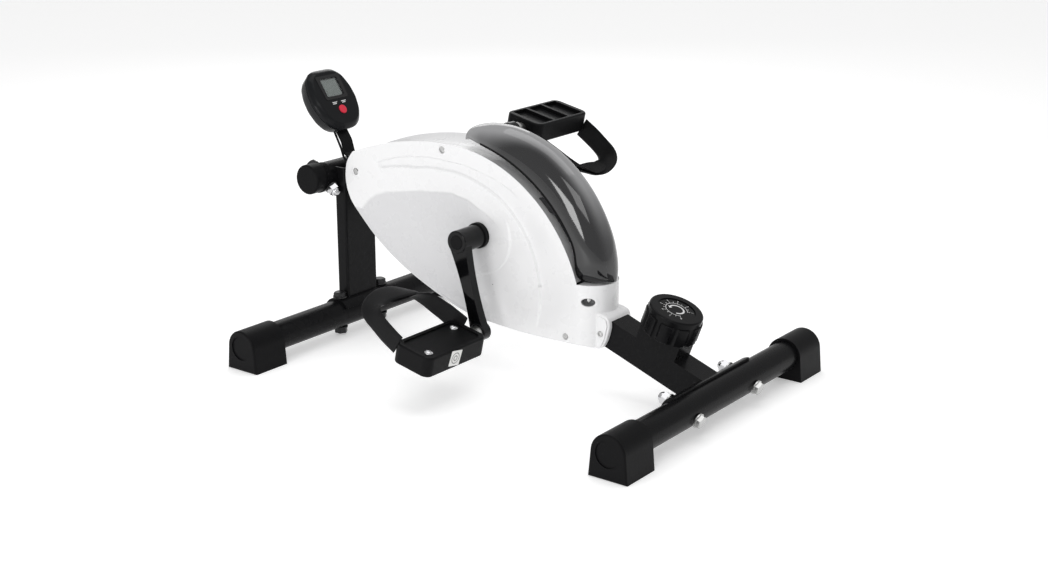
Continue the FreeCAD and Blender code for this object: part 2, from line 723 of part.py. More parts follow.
def brake_magnets():
    blocks = []
    for a in (218, 234, 250, 266):
        block = sector(FLY_R + MAGNET_GAP, BRACKET_R0, a, a + 11, FLY_Y0 + 1, FLY_Y1 - 2)
        blocks.append(swung(block))
    return Part.makeCompound(blocks)


def bracket_pin():
    return rod_y(PIVOT.x, PIVOT.z, 3.0, -PLATE_Y0, FLY_Y1 - 0.5)


# ---------------------------------------------------------------- pedals
def pedal_placed(shape, sign):
    """Move a pedal piece from its own frame, with the shaft along Y at the origin.

    The far pedal hangs with its strap down: it is the near one turned half round the crank
    axis, so that the whole crankset balances.
    """
    x, z = crank_end(sign)
    placed = shape.copy()
    placed.rotate(Vec(0, 0, 0), SIDE, PEDAL_TILT + (180 if sign > 0 else 0))
    placed.translate(Vec(x, -PEDAL_Y, z))
    return placed if sign < 0 else mirrored(placed)


def pedal_body():
    half_z = PEDAL_T / 2
    body = box(-PEDAL_HALF_X, PEDAL_HALF_X, -PEDAL_HALF_Y, PEDAL_HALF_Y, -half_z, half_z)
    body = fillet(body, 9.0, lambda e: abs(e.tangentAt(e.FirstParameter).z) > 0.99)
    body = fillet(body, 2.0, lambda e: abs(abs(e.CenterOfMass.z) - half_z) < 0.01)
    tread_x = PEDAL_HALF_X - 5
    tread_y = PEDAL_HALF_Y - 6
    tread = box(-tread_x, tread_x, -tread_y, tread_y, half_z - 2, half_z + 5)
    tread = fillet(tread, 6.0, lambda e: abs(e.tangentAt(e.FirstParameter).z) > 0.99)
    body = body.cut(tread)
    for y in (-28, 0, 28):
        hollow = box(-PEDAL_HALF_X + 4, PEDAL_HALF_X - 4, y - 12, y + 12, -half_z - 1, -half_z + 4)
        body = body.cut(hollow)
    bore_end = -PEDAL_HALF_Y + 8
    return body.cut(rod_y(0, 0, 4.5 + FIT, bore_end, PEDAL_HALF_Y + 1))


# middle of the band, its width direction and half width, from the inner side over the foot
STRAP_STATIONS = (
    (Vec(-8, 43, 6.5), Vec(1, 0, 0.2), 13.0),
    (Vec(-22, 43.5, 12), Vec(0.75, 0, 0.65), 12.5),
    (Vec(-40, 43, 16), Vec(0.55, 0, 0.85), 12.0),
    (Vec(-57, 38, 21), Vec(0.7, 0, 0.7), 11.5),
    (Vec(-67, 25, 26), Vec(0.9, 0, 0.35), 11.5),
    (Vec(-72, 6, 30), Vec(1, 0, -0.1), 11.5),
    (Vec(-72, -14, 31), Vec(1, 0, -0.12), 11.5),
    (Vec(-67, -30, 28), Vec(0.95, 0, 0.1), 11.5),
    (Vec(-57, -39, 23), Vec(0.8, 0, 0.5), 11.5),
    (Vec(-40, -41, 16), Vec(0.6, 0, 0.75), 12.0),
    (Vec(-20, -40, 6.5), Vec(0.95, 0, 0.3), 12.5),
)
STRAP_INNER_LAST = 7         # the inner half ends over the outer side of the foot
STRAP_OUTER_FIRST = 3        # the outer half starts over the inner side


def strap_section(index, lift):
    """Rectangle across the band at one station."""
    centre, width, half = STRAP_STATIONS[index]
    before = STRAP_STATIONS[max(index - 1, 0)][0]
    after = STRAP_STATIONS[min(index + 1, len(STRAP_STATIONS) - 1)][0]
    tangent = (after - before).normalize()
    across = (width - tangent * width.dot(tangent)).normalize()
    out = across.cross(tangent).normalize()
    near_side = centre + out * lift
    far_side = centre + out * (lift + STRAP_T)
    corners = [near_side - across * half, near_side + across * half, far_side + across * half,
               far_side - across * half]
    return Part.makePolygon(corners + corners[:1])


def pedal_strap():
    """Two moulded halves that overlap on top, in a group; their ends stand on the pedal's rim."""
    inner = Part.makeLoft([strap_section(i, 0.0) for i in range(STRAP_INNER_LAST + 1)], True, False)
    outer_stations = range(STRAP_OUTER_FIRST, len(STRAP_STATIONS))
    outer = Part.makeLoft([strap_section(i, STRAP_T + 0.3) for i in outer_stations], True, False)
    envelope = box(-PEDAL_HALF_X, PEDAL_HALF_X, -PEDAL_HALF_Y, PEDAL_HALF_Y, -PEDAL_T / 2, PEDAL_T / 2)
    return Part.makeCompound([inner.cut(envelope), outer.cut(envelope)])


def pedal_rivets():
    top = PEDAL_T / 2 - 2
    inner = Part.makeCylinder(RIVET_R, 1.2, Vec(-11, 33, top), UP)
    outer = Part.makeCylinder(RIVET_R, 1.2, Vec(11, -33, top), UP)
    return Part.makeCompound([inner, outer])


# ---------------------------------------------------------------- load knob
def knob_bracket():
    """Folded steel housing on the arm; the knob's spindle turns in its top."""
    a0 = KNOB_ALONG - BRACKET_HALF
    a1 = KNOB_ALONG + BRACKET_HALF
    shell = arm_box(a0, a1, ARM_HALF, ARM_HALF, ARM_HALF + BRACKET_H)
    hollow = arm_box(a0 + 2, a1 - 2, ARM_HALF - 2, ARM_HALF - 1, ARM_HALF + BRACKET_H - 2)
    hole = Part.makeCylinder(4.0 + FIT, 2 * BRACKET_H, on_arm(KNOB_ALONG, ARM_HALF), ARM_UP)
    return shell.cut(hollow).cut(hole)


def knob():
    """Round knob with finger flutes that stop below a plain top rim."""
    base = on_arm(KNOB_ALONG, ARM_HALF + BRACKET_H + 1.0)
    body = Part.makeCylinder(KNOB_R - 1.5, KNOB_H, Vec(0, 0, 0), UP)
    body = fillet(body, 2.0, lambda e: e.CenterOfMass.z > KNOB_H - 0.1 and e.Length > 100)
    grip = Part.makeCylinder(KNOB_R, KNOB_H - 7.0, Vec(0, 0, 0), UP)
    grip = fillet(grip, 1.0, lambda e: e.Length > 100)
    for i in range(10):
        a = math.radians(36 * i + 18)
        flute = Part.makeCylinder(5.0, KNOB_H - 6.0, Vec(33.0 * math.cos(a), 33.0 * math.sin(a), -1), UP)
        grip = grip.cut(flute)
    core = Part.makeCylinder(KNOB_R - 3.5, KNOB_H - 7.0, Vec(0, 0, 0), UP)
    cap = body.common(Part.makeCylinder(KNOB_R + 5, 8.0, Vec(0, 0, KNOB_H - 8.0), UP))
    body = cap.fuse([core, grip]).removeSplitter()
    body = body.cut(Part.makeCylinder(20.0, 2.0, Vec(0, 0, KNOB_H - 1.0), UP))
    body = body.cut(Part.makeCylinder(KNOB_R - 6.0, 12.0, Vec(0, 0, -1), UP))
    body = body.fuse(Part.makeCylinder(9.0, 14.0, Vec(0, 0, 0), UP))
    body = body.cut(Part.makeCylinder(4.0, 14.0, Vec(0, 0, -1), UP))
    body.Placement = FreeCAD.Placement(base, FreeCAD.Rotation(UP, ARM_UP))
    return body


def knob_spindle():
    """Spindle with the drum that winds the brake cable inside the bracket."""
    top = on_arm(KNOB_ALONG, ARM_HALF + BRACKET_H + 14.0)
    shaft = Part.makeCylinder(4.0, 30.0, top - ARM_UP * 30.0, ARM_UP)
    drum = Part.makeCylinder(8.0, 5.0, on_arm(KNOB_ALONG, ARM_HALF + 3.0), ARM_UP)
    return shaft.fuse(drum).removeSplitter()


def tension_cable():
    """Sheathed cable from under the drum, down the arm tube, to the magnet bracket."""
    points = [
        on_arm(KNOB_ALONG - 8, -4, 0),
        on_arm(KNOB_ALONG + 28, -4, -1),
        on_arm(ARM_END - 4, -2, -5),
        Vec(86, -13, 76),
    ]
    return smooth_tube(points, 2.0, (100.0, 50.0))


# ---------------------------------------------------------------- monitor
def monitor_frame():
    """Placement of the monitor: local x is the object's +Y, local z leaves the face."""
    tilt = math.radians(MONITOR_TILT)
    up = Vec(-math.sin(tilt), 0, math.cos(tilt))
    out = Vec(math.cos(tilt), 0, math.sin(tilt))
    turn = FreeCAD.Rotation(SIDE, up, out, "ZXY")
    return FreeCAD.Placement(Vec(MONITOR_X, 0, MONITOR_Z), turn)


def on_monitor(shape):
    placed = shape.copy()
    placed.Placement = monitor_frame().multiply(placed.Placement)
    return placed


MONITOR_OUTLINE = ((16, 39), (27, 31), (33, 14), (34, -3), (28.5, -21), (18.5, -32), (6.5, -36))


def monitor_wire(scale, z):
    right = [Vec(x * scale, y * scale, z) for x, y in MONITOR_OUTLINE]
    left = [Vec(-p.x, p.y, z) for p in reversed(right)]
    corners = right + left
    return Part.makePolygon(corners + corners[:1])


def monitor_front_shell():
    seam = -MONITOR_FRONT_T
    rim = Part.makeLoft([monitor_wire(1.0, seam), monitor_wire(1.0, -4.0), monitor_wire(0.88, 0.0)], True, True)
    hollow = Part.makeLoft([monitor_wire(0.92, seam - 1), monitor_wire(0.86, -3.5)], True, True)
    window = Part.makeBox(27, 23, 12, Vec(-13.5, 3.0, -6))
    button = Part.makeCylinder(5.6, 12, Vec(0, -14, -6), UP)
    return on_monitor(rim.cut(hollow).cut(window).cut(button))


def monitor_rear_shell():
    seam = -MONITOR_FRONT_T
    back = seam - MONITOR_REAR_T
    tub = Part.makeLoft([monitor_wire(0.78, back), monitor_wire(0.95, back + 6), monitor_wire(1.0, seam)], True, True)
    hollow = Part.makeLoft([monitor_wire(0.72, back + 2.5), monitor_wire(0.92, seam)], True, True)
    slot = Part.makeBox(17.4, 20, 2.3, Vec(-8.7, -40, back + 7.35))
    return on_monitor(tub.cut(hollow).cut(slot)).cut(monitor_lead(LEAD_R + 0.15))


def monitor_lens():
    return on_monitor(Part.makeBox(26.6, 22.6, 1.4, Vec(-13.3, 3.2, -2.2)))


def lcd_panel():
    return on_monitor(Part.makeBox(24, 20, 1.2, Vec(-12, 4.5, -3.6)))


def reset_button():
    button = Part.makeCylinder(5.2, 6.0, Vec(0, -14, -4.4), UP)
    button = fillet(button, 1.0, lambda e: e.CenterOfMass.z > 1.5 and e.Length > 20)
    return on_monitor(button)


def monitor_strip():
    """Bent steel strip from the post's front face up to a slot in the monitor."""
    thick = 2.0
    half_width = 8.5
    bends = [
        (POST_X1 + thick / 2, 170),
        (POST_X1 + thick / 2, 198),
        (-243, 203.5),
        (-250, 208),
        (-253.9, 221.3),
        (-265.6, 238.7),
    ]
    legs = []
    for (x0, z0), (x1, z1) in zip(bends, bends[1:]):
        length = math.hypot(x1 - x0, z1 - z0)
        leg = Part.makeBox(length, 2 * half_width, thick, Vec(0, -half_width, -thick / 2))
        turn = FreeCAD.Rotation(SIDE, -math.degrees(math.atan2(z1 - z0, x1 - x0)))
        leg.Placement = FreeCAD.Placement(Vec(x0, 0, z0), turn)
        legs.append(leg)
    knuckles = [rod_y(x, z, thick / 2, -half_width, half_width) for x, z in bends[1:-1]]
    return legs[0].fuse(legs[1:] + knuckles).removeSplitter()


def monitor_lead(radius):
    """Thin lead from the monitor's underside through the housing tip to the speed sensor."""
    points = [
        Vec(-266, -9, 236),
        Vec(-252, -11, 214),
        Vec(-247, -12, 203),
        Vec(-226, -11, 196),
        Vec(-190, -10, 190),
        Vec(-140, -9, 184),
        Vec(-91, -8, 169),
    ]
    return smooth_tube(points, radius, (12.0, 9.0, 18.0, 40.0, 60.0))


def speed_sensor():
    return box(-91, -79, -PLATE_Y0, BELT_Y0 - 4.1, 163, 175)


# ---------------------------------------------------------------- writing the pieces
def build():
    block = housing_block(0.0)
    near = near_shell(block)
    bolts, washers, nuts = bolt_sets()
    plate = frame_plate()
    parts = {
        "front_stabilizer": stabilizer(FRONT_X, FRONT_BOLT_Y, ARM_DIR),
        "rear_stabilizer": stabilizer(REAR_X, REAR_BOLT_Y, UP),
        "front_foot_near": foot(FRONT_X, -1),
        "front_foot_far": foot(FRONT_X, 1),
        "rear_foot_near": foot(REAR_X, -1),
        "rear_foot_far": foot(REAR_X, 1),
        "rear_post": rear_post(),
        "rear_saddle": saddle(REAR_X, TUBE_Z, TUBE_R, 90, REAR_SADDLE_HALF, 60, REAR_BOLT_Y),
        "arm_tube": arm_tube(),
        "front_saddle": saddle(FRONT_X, TUBE_Z, TUBE_R, 180 - ARM_TILT, FRONT_SADDLE_HALF, 62, FRONT_BOLT_Y),
        "frame_plate_near": mirrored(plate),
        "frame_plate_far": plate,
        "plate_spacers": plate_spacers(),
        "crank_bearings": crank_bearings(),
        "axle_collars": axle_collars(),
        "frame_bolts": bolts,
        "frame_washers": washers,
        "cap_nuts": nuts,
        "handle_bar": handle_bar(),
        "handle_caps": handle_caps(),
        "handle_saddle": saddle(HANDLE_X, HANDLE_Z, HANDLE_R, HANDLE_TILT, 41.0, 58, HANDLE_BOLT_Y),
        "near_shell": near,
        "far_shell": mirrored(near),
        "smoked_cover": smoked_cover(block),
        "shell_screws": shell_screws(),
        "flywheel_axle": flywheel_axle(),
        "axle_nuts": axle_nuts(),
        "drive_belt": drive_belt(),
        "bracket_pin": bracket_pin(),
        "tension_cable": tension_cable(),
        "speed_sensor": speed_sensor(),
        "knob_bracket": knob_bracket(),
        "monitor_strip": monitor_strip(),
        "monitor_rear_shell": monitor_rear_shell(),
        "monitor_front_shell": monitor_front_shell(),
        "monitor_lens": monitor_lens(),
        "lcd_panel": lcd_panel(),
        "monitor_lead": monitor_lead(LEAD_R),
        "crank_axle": crank_axle(),
        "drive_pulley": drive_pulley(),
        "near_crank": crank_arm(-1),
        "far_crank": crank_arm(1),
        "crank_caps": crank_caps(),
        "near_spindle": pedal_spindle(-1),
        "far_spindle": pedal_spindle(1),
        "sensor_magnet": sensor_magnet(),
        "flywheel": flywheel(),
        "flywheel_bearings": flywheel_bearings(),
        "flywheel_pulley": flywheel_pulley(),
        "magnet_bracket": magnet_bracket(),
        "brake_magnets": brake_magnets(),
        "load_knob": knob(),
        "knob_spindle": knob_spindle(),
        "reset_button": reset_button(),
    }
    for sign, side in ((-1, "near"), (1, "far")):
        parts[side + "_pedal_body"] = pedal_placed(pedal_body(), sign)
        parts[side + "_strap"] = pedal_placed(pedal_strap(), sign)
        parts[side + "_rivets"] = pedal_placed(pedal_rivets(), sign)
    return parts


def main():
    os.makedirs("parts", exist_ok=True)
    low = Vec(1e9, 1e9, 1e9)
    high = Vec(-1e9, -1e9, -1e9)
    for name, shape in build().items():
        shape.translate(Vec(ORIGIN_X, 0, 0))
        shape.exportStep("parts/%s.step" % name)
        bounds = shape.optimalBoundingBox(False)
        low = Vec(min(low.x, bounds.XMin), min(low.y, bounds.YMin), min(low.z, bounds.ZMin))
        high = Vec(max(high.x, bounds.XMax), max(high.y, bounds.YMax), max(high.z, bounds.ZMax))
        state = (name, len(shape.Solids), shape.Volume, shape.isValid())
        print("%-22s %2d solids %10.0f mm3 valid %s" % state)
    print("box", low, high)


main()
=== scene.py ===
"""Looks of the magnetic mini pedal exerciser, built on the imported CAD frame.

Shapes are worked out in station millimetres: x from the point midway between the two
stabilizers, -Y the near side, z up from the floor. place() turns them into the frame's metres.
"""
import json
import math

import bpy
from mathutils import Matrix, Vector


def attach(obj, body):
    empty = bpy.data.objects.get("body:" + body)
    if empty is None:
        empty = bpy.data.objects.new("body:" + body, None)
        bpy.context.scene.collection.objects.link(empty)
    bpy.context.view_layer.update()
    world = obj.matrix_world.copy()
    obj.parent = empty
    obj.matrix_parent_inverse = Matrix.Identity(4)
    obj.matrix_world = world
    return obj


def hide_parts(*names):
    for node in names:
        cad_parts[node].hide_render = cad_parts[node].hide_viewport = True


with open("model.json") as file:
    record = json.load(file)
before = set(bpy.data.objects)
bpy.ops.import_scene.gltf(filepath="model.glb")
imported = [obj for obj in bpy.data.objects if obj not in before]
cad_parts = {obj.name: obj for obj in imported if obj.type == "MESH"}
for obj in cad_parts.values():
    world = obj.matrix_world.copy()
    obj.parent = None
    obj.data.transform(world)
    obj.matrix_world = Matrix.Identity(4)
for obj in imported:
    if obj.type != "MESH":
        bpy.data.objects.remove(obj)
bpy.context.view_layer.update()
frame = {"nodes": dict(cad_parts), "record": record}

NODES = frame["nodes"]

MM = 0.001
ORIGIN_X = 20.35             # a station x plus this is the frame's x

# ---------------------------------------------------------------- sizes shared with the CAD
HALF = 29.0                  # housing, half width over its side faces
EDGE = 7.0                   # rounding along the top of the housing
LOW_EDGE = 4.5               # rounding along its underside
TOP_ARC = (-82.0, -115.0, 360.0)      # edge of the flat side over the top: centre x, z, radius
RIM_ARC = (-80.4, 66.3, 178.7)
NOSE_X = 88.0
NOSE_TOP = 122.0
NOSE_LOW = 50.5
CRANK = (-38.0, 152.0)
CRANK_LEN = 98.0
CRANK_LEAN = math.radians(15.5)
ARM_TILT = math.radians(20.0)
MONITOR = (-265.9, 268.6)
MONITOR_TILT = math.radians(34.0)
PEDAL_Y = 127.0
PEDAL_TILT = math.radians(12.0)
COVER = (-43.0, 105.0)       # axis of the smoked cover's arch


def place(x, y, z):
    return Vector(((x + ORIGIN_X) * MM, y * MM, z * MM))


def smoothstep(low, high, value):
    t = min(1.0, max(0.0, (value - low) / (high - low)))
    return t * t * (3 - 2 * t)


def interpolate(table, value):
    """Value from a table of (place, value) pairs in rising order."""
    if value <= table[0][0]:
        return table[0][1]
    for (x0, y0), (x1, y1) in zip(table, table[1:]):
        if value <= x1:
            return y0 + (y1 - y0) * (value - x0) / (x1 - x0)
    return table[-1][1]


# ---------------------------------------------------------------- materials
MOTTLE_SCALE = 60.0
GRAIN_DEPTH = 0.0004         # metres
SHARP_ANGLE = 32.0           # edges sharper than this stay hard, degrees


def material(name, colour, rough, metallic=0.0, grain=0.0, grain_scale=900.0, mottle=0.08,
             mottle_scale=MOTTLE_SCALE, rough_spread=0.06, coat=0.0, specular=0.5, stretch=(1, 1, 1),
             vary=None):
    """Procedural surface: fine grain in the normal, a faint mottle in colour and roughness.

    vary is the name of a vertex mask and the colour shown where that mask is 1; here it paints shade on the
    housing's panel and a reflection on the cover's crown.
    """
    made = bpy.data.materials.new(name)
    made.use_nodes = True
    nodes = made.node_tree.nodes
    links = made.node_tree.links
    shader = nodes["Principled BSDF"]
    shader.inputs["Metallic"].default_value = metallic
    shader.inputs["Coat Weight"].default_value = coat
    shader.inputs["Coat Roughness"].default_value = 0.08
    shader.inputs["Specular IOR Level"].default_value = specular
    coordinates = nodes.new("ShaderNodeTexCoord")
    mapping = nodes.new("ShaderNodeMapping")
    mapping.inputs["Scale"].default_value = stretch
    links.new(coordinates.outputs["Object"], mapping.inputs["Vector"])

    wide = nodes.new("ShaderNodeTexNoise")
    wide.inputs["Scale"].default_value = mottle_scale
    wide.inputs["Detail"].default_value = 5.0
    links.new(mapping.outputs["Vector"], wide.inputs["Vector"])
    tint = nodes.new("ShaderNodeMix")
    tint.data_type = "RGBA"
    tint.inputs["A"].default_value = [c * (1 - mottle) for c in colour] + [1.0]
    tint.inputs["B"].default_value = [min(1.0, c * (1 + mottle)) for c in colour] + [1.0]
    links.new(wide.outputs["Fac"], tint.inputs["Factor"])
    colour_out = tint.outputs["Result"]
    if vary:
        attribute_name, other = vary
        mask = nodes.new("ShaderNodeAttribute")
        mask.attribute_name = attribute_name
        blend = nodes.new("ShaderNodeMix")
        blend.data_type = "RGBA"
        blend.inputs["B"].default_value = list(other) + [1.0]
        links.new(mask.outputs["Fac"], blend.inputs["Factor"])
        links.new(colour_out, blend.inputs["A"])
        colour_out = blend.outputs["Result"]
    links.new(colour_out, shader.inputs["Base Color"])

    sheen = nodes.new("ShaderNodeMapRange")
    sheen.inputs["To Min"].default_value = max(0.02, rough - rough_spread)
    sheen.inputs["To Max"].default_value = min(1.0, rough + rough_spread)
    links.new(wide.outputs["Fac"], sheen.inputs["Value"])
    links.new(sheen.outputs["Result"], shader.inputs["Roughness"])

    if grain:
        fine = nodes.new("ShaderNodeTexNoise")
        fine.inputs["Scale"].default_value = grain_scale
        fine.inputs["Detail"].default_value = 3.0
        links.new(mapping.outputs["Vector"], fine.inputs["Vector"])
        bump = nodes.new("ShaderNodeBump")
        bump.inputs["Strength"].default_value = grain
        bump.inputs["Distance"].default_value = GRAIN_DEPTH
        links.new(fine.outputs["Fac"], bump.inputs["Height"])
        links.new(bump.outputs["Normal"], shader.inputs["Normal"])
    return made


def smoke_material():
    """Dark smoked plastic with a high gloss; a little light comes through it; the crown mask paints it paler
    along the crown, a painted reflection.
    """
    made = material("smoked_plastic", (0.010, 0.010, 0.011), 0.07, rough_spread=0.02, mottle=0.05,
                    coat=0.4, vary=("crown", (0.29, 0.29, 0.295)))
    shader = made.node_tree.nodes["Principled BSDF"]
    shader.inputs["Transmission Weight"].default_value = 0.08
    shader.inputs["IOR"].default_value = 1.5
    return made


def lens_material():
    made = material("monitor_window", (0.75, 0.8, 0.78), 0.06, rough_spread=0.02, mottle=0.02)
    shader = made.node_tree.nodes["Principled BSDF"]
    shader.inputs["Transmission Weight"].default_value = 0.9
    shader.inputs["IOR"].default_value = 1.45
    return made


SOFT = 0.07                  # specular level of the moulded blacks

LOOKS = {
    "frame_paint": material("frame_paint", (0.006, 0.006, 0.0065), 0.27, grain=0.3, grain_scale=700,
                            coat=0.03, specular=SOFT),
    "zinc_steel": material("zinc_steel", (0.52, 0.52, 0.515), 0.26, metallic=1.0, grain=0.15, mottle=0.1),
    "chrome": material("chrome", (0.55, 0.55, 0.56), 0.12, metallic=1.0, mottle=0.08, rough_spread=0.04),
    "bare_steel": material("bare_steel", (0.5, 0.5, 0.49), 0.33, metallic=1.0, grain=0.25,
                           stretch=(1, 12, 1)),
    "cast_wheel": material("cast_wheel", (0.10, 0.10, 0.105), 0.5, metallic=0.7, grain=0.5,
                           grain_scale=500),
    # white_shell: its vertex mask paints the recessed panel grey, a painted shade
    "white_shell": material("white_shell", (0.83, 0.83, 0.835), 0.28, grain=0.05, mottle=0.006,
                            coat=0.15, vary=("panel_shade", (0.66, 0.66, 0.67))),
    "smoked_shell": smoke_material(),
    "black_plastic": material("black_plastic", (0.007, 0.007, 0.0075), 0.38, grain=0.35,
                              grain_scale=1100, specular=SOFT),
    "crank_black": material("crank_black", (0.003, 0.003, 0.0035), 0.1, grain=0.03, coat=0.15,
                            rough_spread=0.03, specular=0.12),
    "pedal_black": material("pedal_black", (0.006, 0.006, 0.0065), 0.36, grain=0.5, grain_scale=1300,
                            specular=SOFT),
    "strap_black": material("strap_black", (0.010, 0.010, 0.0105), 0.42, grain=0.5, grain_scale=1500,
                            specular=SOFT),
    "foot_rubber": material("foot_rubber", (0.005, 0.005, 0.0055), 0.40, grain=0.55, grain_scale=900,
                            specular=SOFT),
    "belt_rubber": material("belt_rubber", (0.02, 0.02, 0.02), 0.6, grain=0.4),
    "knob_black": material("knob_black", (0.005, 0.005, 0.0055), 0.2, grain=0.2, grain_scale=1200,
                           coat=0.06, specular=SOFT),
    "monitor_grey": material("monitor_grey", (0.009, 0.0095, 0.0105), 0.24, grain=0.15,
                             grain_scale=1400, coat=0.08, specular=SOFT),
    "lens_clear": lens_material(),
    "lcd": material("lcd", (0.25, 0.265, 0.26), 0.35, mottle=0.04),
    "button_red": material("button_red", (0.62, 0.012, 0.04), 0.3, grain=0.1, mottle=0.05),
    "lead_black": material("lead_black", (0.007, 0.007, 0.0075), 0.4, grain=0.2, specular=SOFT),
    "magnet": material("magnet", (0.12, 0.12, 0.125), 0.5, grain=0.4),
    "sensor_black": material("sensor_black", (0.02, 0.02, 0.02), 0.45, grain=0.3),
}
PRINT_WHITE = material("print_white", (0.72, 0.72, 0.72), 0.5, mottle=0.05)
LABEL_WHITE = material("label_white", (0.78, 0.78, 0.76), 0.45, mottle=0.03)
LABEL_GREY = material("label_grey", (0.25, 0.25, 0.25), 0.5, mottle=0.2, mottle_scale=900)
DISPLAY_TRIM = material("display_trim", (0.004, 0.004, 0.0045), 0.08, mottle=0.05, coat=0.4,
                        specular=0.2)
# painted shade: dark grey for the inside of the deep screw well, standing in for its shadow
WELL_PAINTED_SHADE = material("well_painted_shade", (0.2, 0.2, 0.205), 0.5, mottle=0.1)
REAR_BOLT_BLACK = material("rear_bolt_black", (0.012, 0.012, 0.013), 0.3, mottle=0.1, specular=0.3)


REAR_BLACK_NODES = ("frame_bolts", "frame_washers")
REAR_LIMIT = -220.0          # the bolt heads at the rear lie beyond this x


def blacken_rear(node):
    """Blackened finish on the bolt heads of the rear stabilizer and the handle."""
    node.data.materials.append(REAR_BOLT_BLACK)
    limit = place(REAR_LIMIT, 0.0, 0.0)
    for polygon in node.data.polygons:
        centre = node.matrix_world @ polygon.center
        if centre.x < limit.x:
            polygon.material_index = 1


def dress_cad():
    """Give every CAD node the surface of its slot in the record."""
    for entry in frame["record"]["subparts"]:
        node = NODES[entry["node"]]
        node.data.materials.clear()
        node.data.materials.append(LOOKS[entry["material_slot"]])
        if entry["node"] in REAR_BLACK_NODES:
            blacken_rear(node)
        for polygon in node.data.polygons:
            polygon.use_smooth = True
        node.data.set_sharp_from_angle(angle=math.radians(SHARP_ANGLE))


# ---------------------------------------------------------------- mesh helpers
def piece(name, points, faces, look, body, smooth=SHARP_ANGLE, covers=()):
    """Mesh from station points, riding on a body."""
    mesh = bpy.data.meshes.new(name)
    mesh.from_pydata([place(*p) for p in points], [], faces)
    mesh.materials.append(look)
    mesh.validate()
    for polygon in mesh.polygons:
        polygon.use_smooth = True
    mesh.set_sharp_from_angle(angle=math.radians(smooth))
    made = bpy.data.objects.new(name, mesh)
    bpy.context.scene.collection.objects.link(made)
    if covers:
        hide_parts(*covers)
    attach(made, body)
    return made


class Build:
    """Points and faces of one piece, put together from lofts."""

    def __init__(self):
        self.points = []
        self.faces = []

    def loft(self, rings, closed=True, cap_start=False, cap_end=False):
        """Quads between rings of equal length."""
        count = len(rings[0])
        base = len(self.points)
        for ring in rings:
            self.points.extend(ring)
        span = count if closed else count - 1
        for i in range(len(rings) - 1):
            for j in range(span):
                k = (j + 1) % count
                a = base + i * count
                b = a + count
                self.faces.append((a + j, a + k, b + k, b + j))
        if cap_start:
            self.faces.append(tuple(base + j for j in reversed(range(count))))
        if cap_end:
            last = base + (len(rings) - 1) * count
            self.faces.append(tuple(last + j for j in range(count)))

    def make(self, name, look, body, smooth=SHARP_ANGLE, covers=(), move=None):
        points = [move(p) for p in self.points] if move else self.points
        return piece(name, points, self.faces, look, body, smooth, covers)


def outward(outline):
    """Unit normals of a closed counter-clockwise outline."""
    normals = []
    count = len(outline)
    for i in range(count):
        ax, ay = outline[i - 1]
        bx, by = outline[(i + 1) % count]
        length = math.hypot(bx - ax, by - ay) or 1.0
        normals.append(((by - ay) / length, -(bx - ax) / length))
    return normals


CORNER_SHARE = 0.45          # a rounded corner takes at most this share of a side


def round_corners(corners, radius, steps=6):
    """Closed outline with each corner of a polygon rounded."""
    result = []
    count = len(corners)
    for i in range(count):
        before = Vector(corners[i - 1])
        here = Vector(corners[i])
        after = Vector(corners[(i + 1) % count])
        shorter = min((before - here).length, (after - here).length)
        reach = min(radius, shorter * CORNER_SHARE)
        start = here + (before - here).normalized() * reach
        end = here + (after - here).normalized() * reach
        for j in range(steps + 1):
            t = j / steps
            point = start * (1 - t) ** 2 + here * 2 * t * (1 - t) + end * t * t
            result.append((point.x, point.y))
    return result


def ring_of(radius, count, at):
    """Points at(u, v) round a circle."""
    ring = []
    for i in range(count):
        angle = 2 * math.pi * i / count
        ring.append(at(radius * math.cos(angle), radius * math.sin(angle)))
    return ring


def slab(outline, low, high, bevel, steps=5):
    """Rings of a plate with a rounded top edge: (u, v, w) with w along its thickness."""
    normals = outward(outline)
    rings = []

    def ring(inset, level):
        rings.append([(u - n[0] * inset, v - n[1] * inset, level) for (u, v), n in zip(outline, normals)])

    ring(0.0, low)
    for i in range(steps + 1):
        a = math.pi / 2 * i / steps
        ring(bevel * (1 - math.cos(a)), high - bevel * (1 - math.sin(a)))
    return rings


# ---------------------------------------------------------------- housing
def on_side(s, z, depth):
    """Point on the near side of the housing; past the nose's axis the sheet wraps round it."""
    if s <= NOSE_X:
        return (s, -(HALF - depth), z)
    angle = (s - NOSE_X) / HALF
    radius = HALF - depth
    return (NOSE_X + radius * math.sin(angle), -radius * math.cos(angle), z)


NOSE_END = NOSE_X + HALF * math.pi / 2


def arc_points(circle, start, end, count):
    """Points on a circle (x, z, radius) between two angles in degrees."""
    x, z, r = circle
    step = (end - start) / (count - 1)
    angles = [math.radians(start + step * i) for i in range(count)]
    return [(x + r * math.cos(a), z + r * math.sin(a)) for a in angles]


def curve_through(points, count):
    """Smooth run through a few points (Catmull-Rom)."""
    padded = [points[0]] + list(points) + [points[-1]]
    spans = len(points) - 1
    result = []
    for i in range(count):
        t = i / (count - 1) * spans
        k = min(int(t), spans - 1)
        t -= k
        p0, p1, p2, p3 = padded[k:k + 4]
        point = []
        for a, b, c, d in zip(p0, p1, p2, p3):
            square = 2 * a - 5 * b + 4 * c - d
            cube = 3 * b - a - 3 * c + d
            point.append(0.5 * (2 * b + (c - a) * t + square * t * t + cube * t ** 3))
        result.append(tuple(point))
    return result


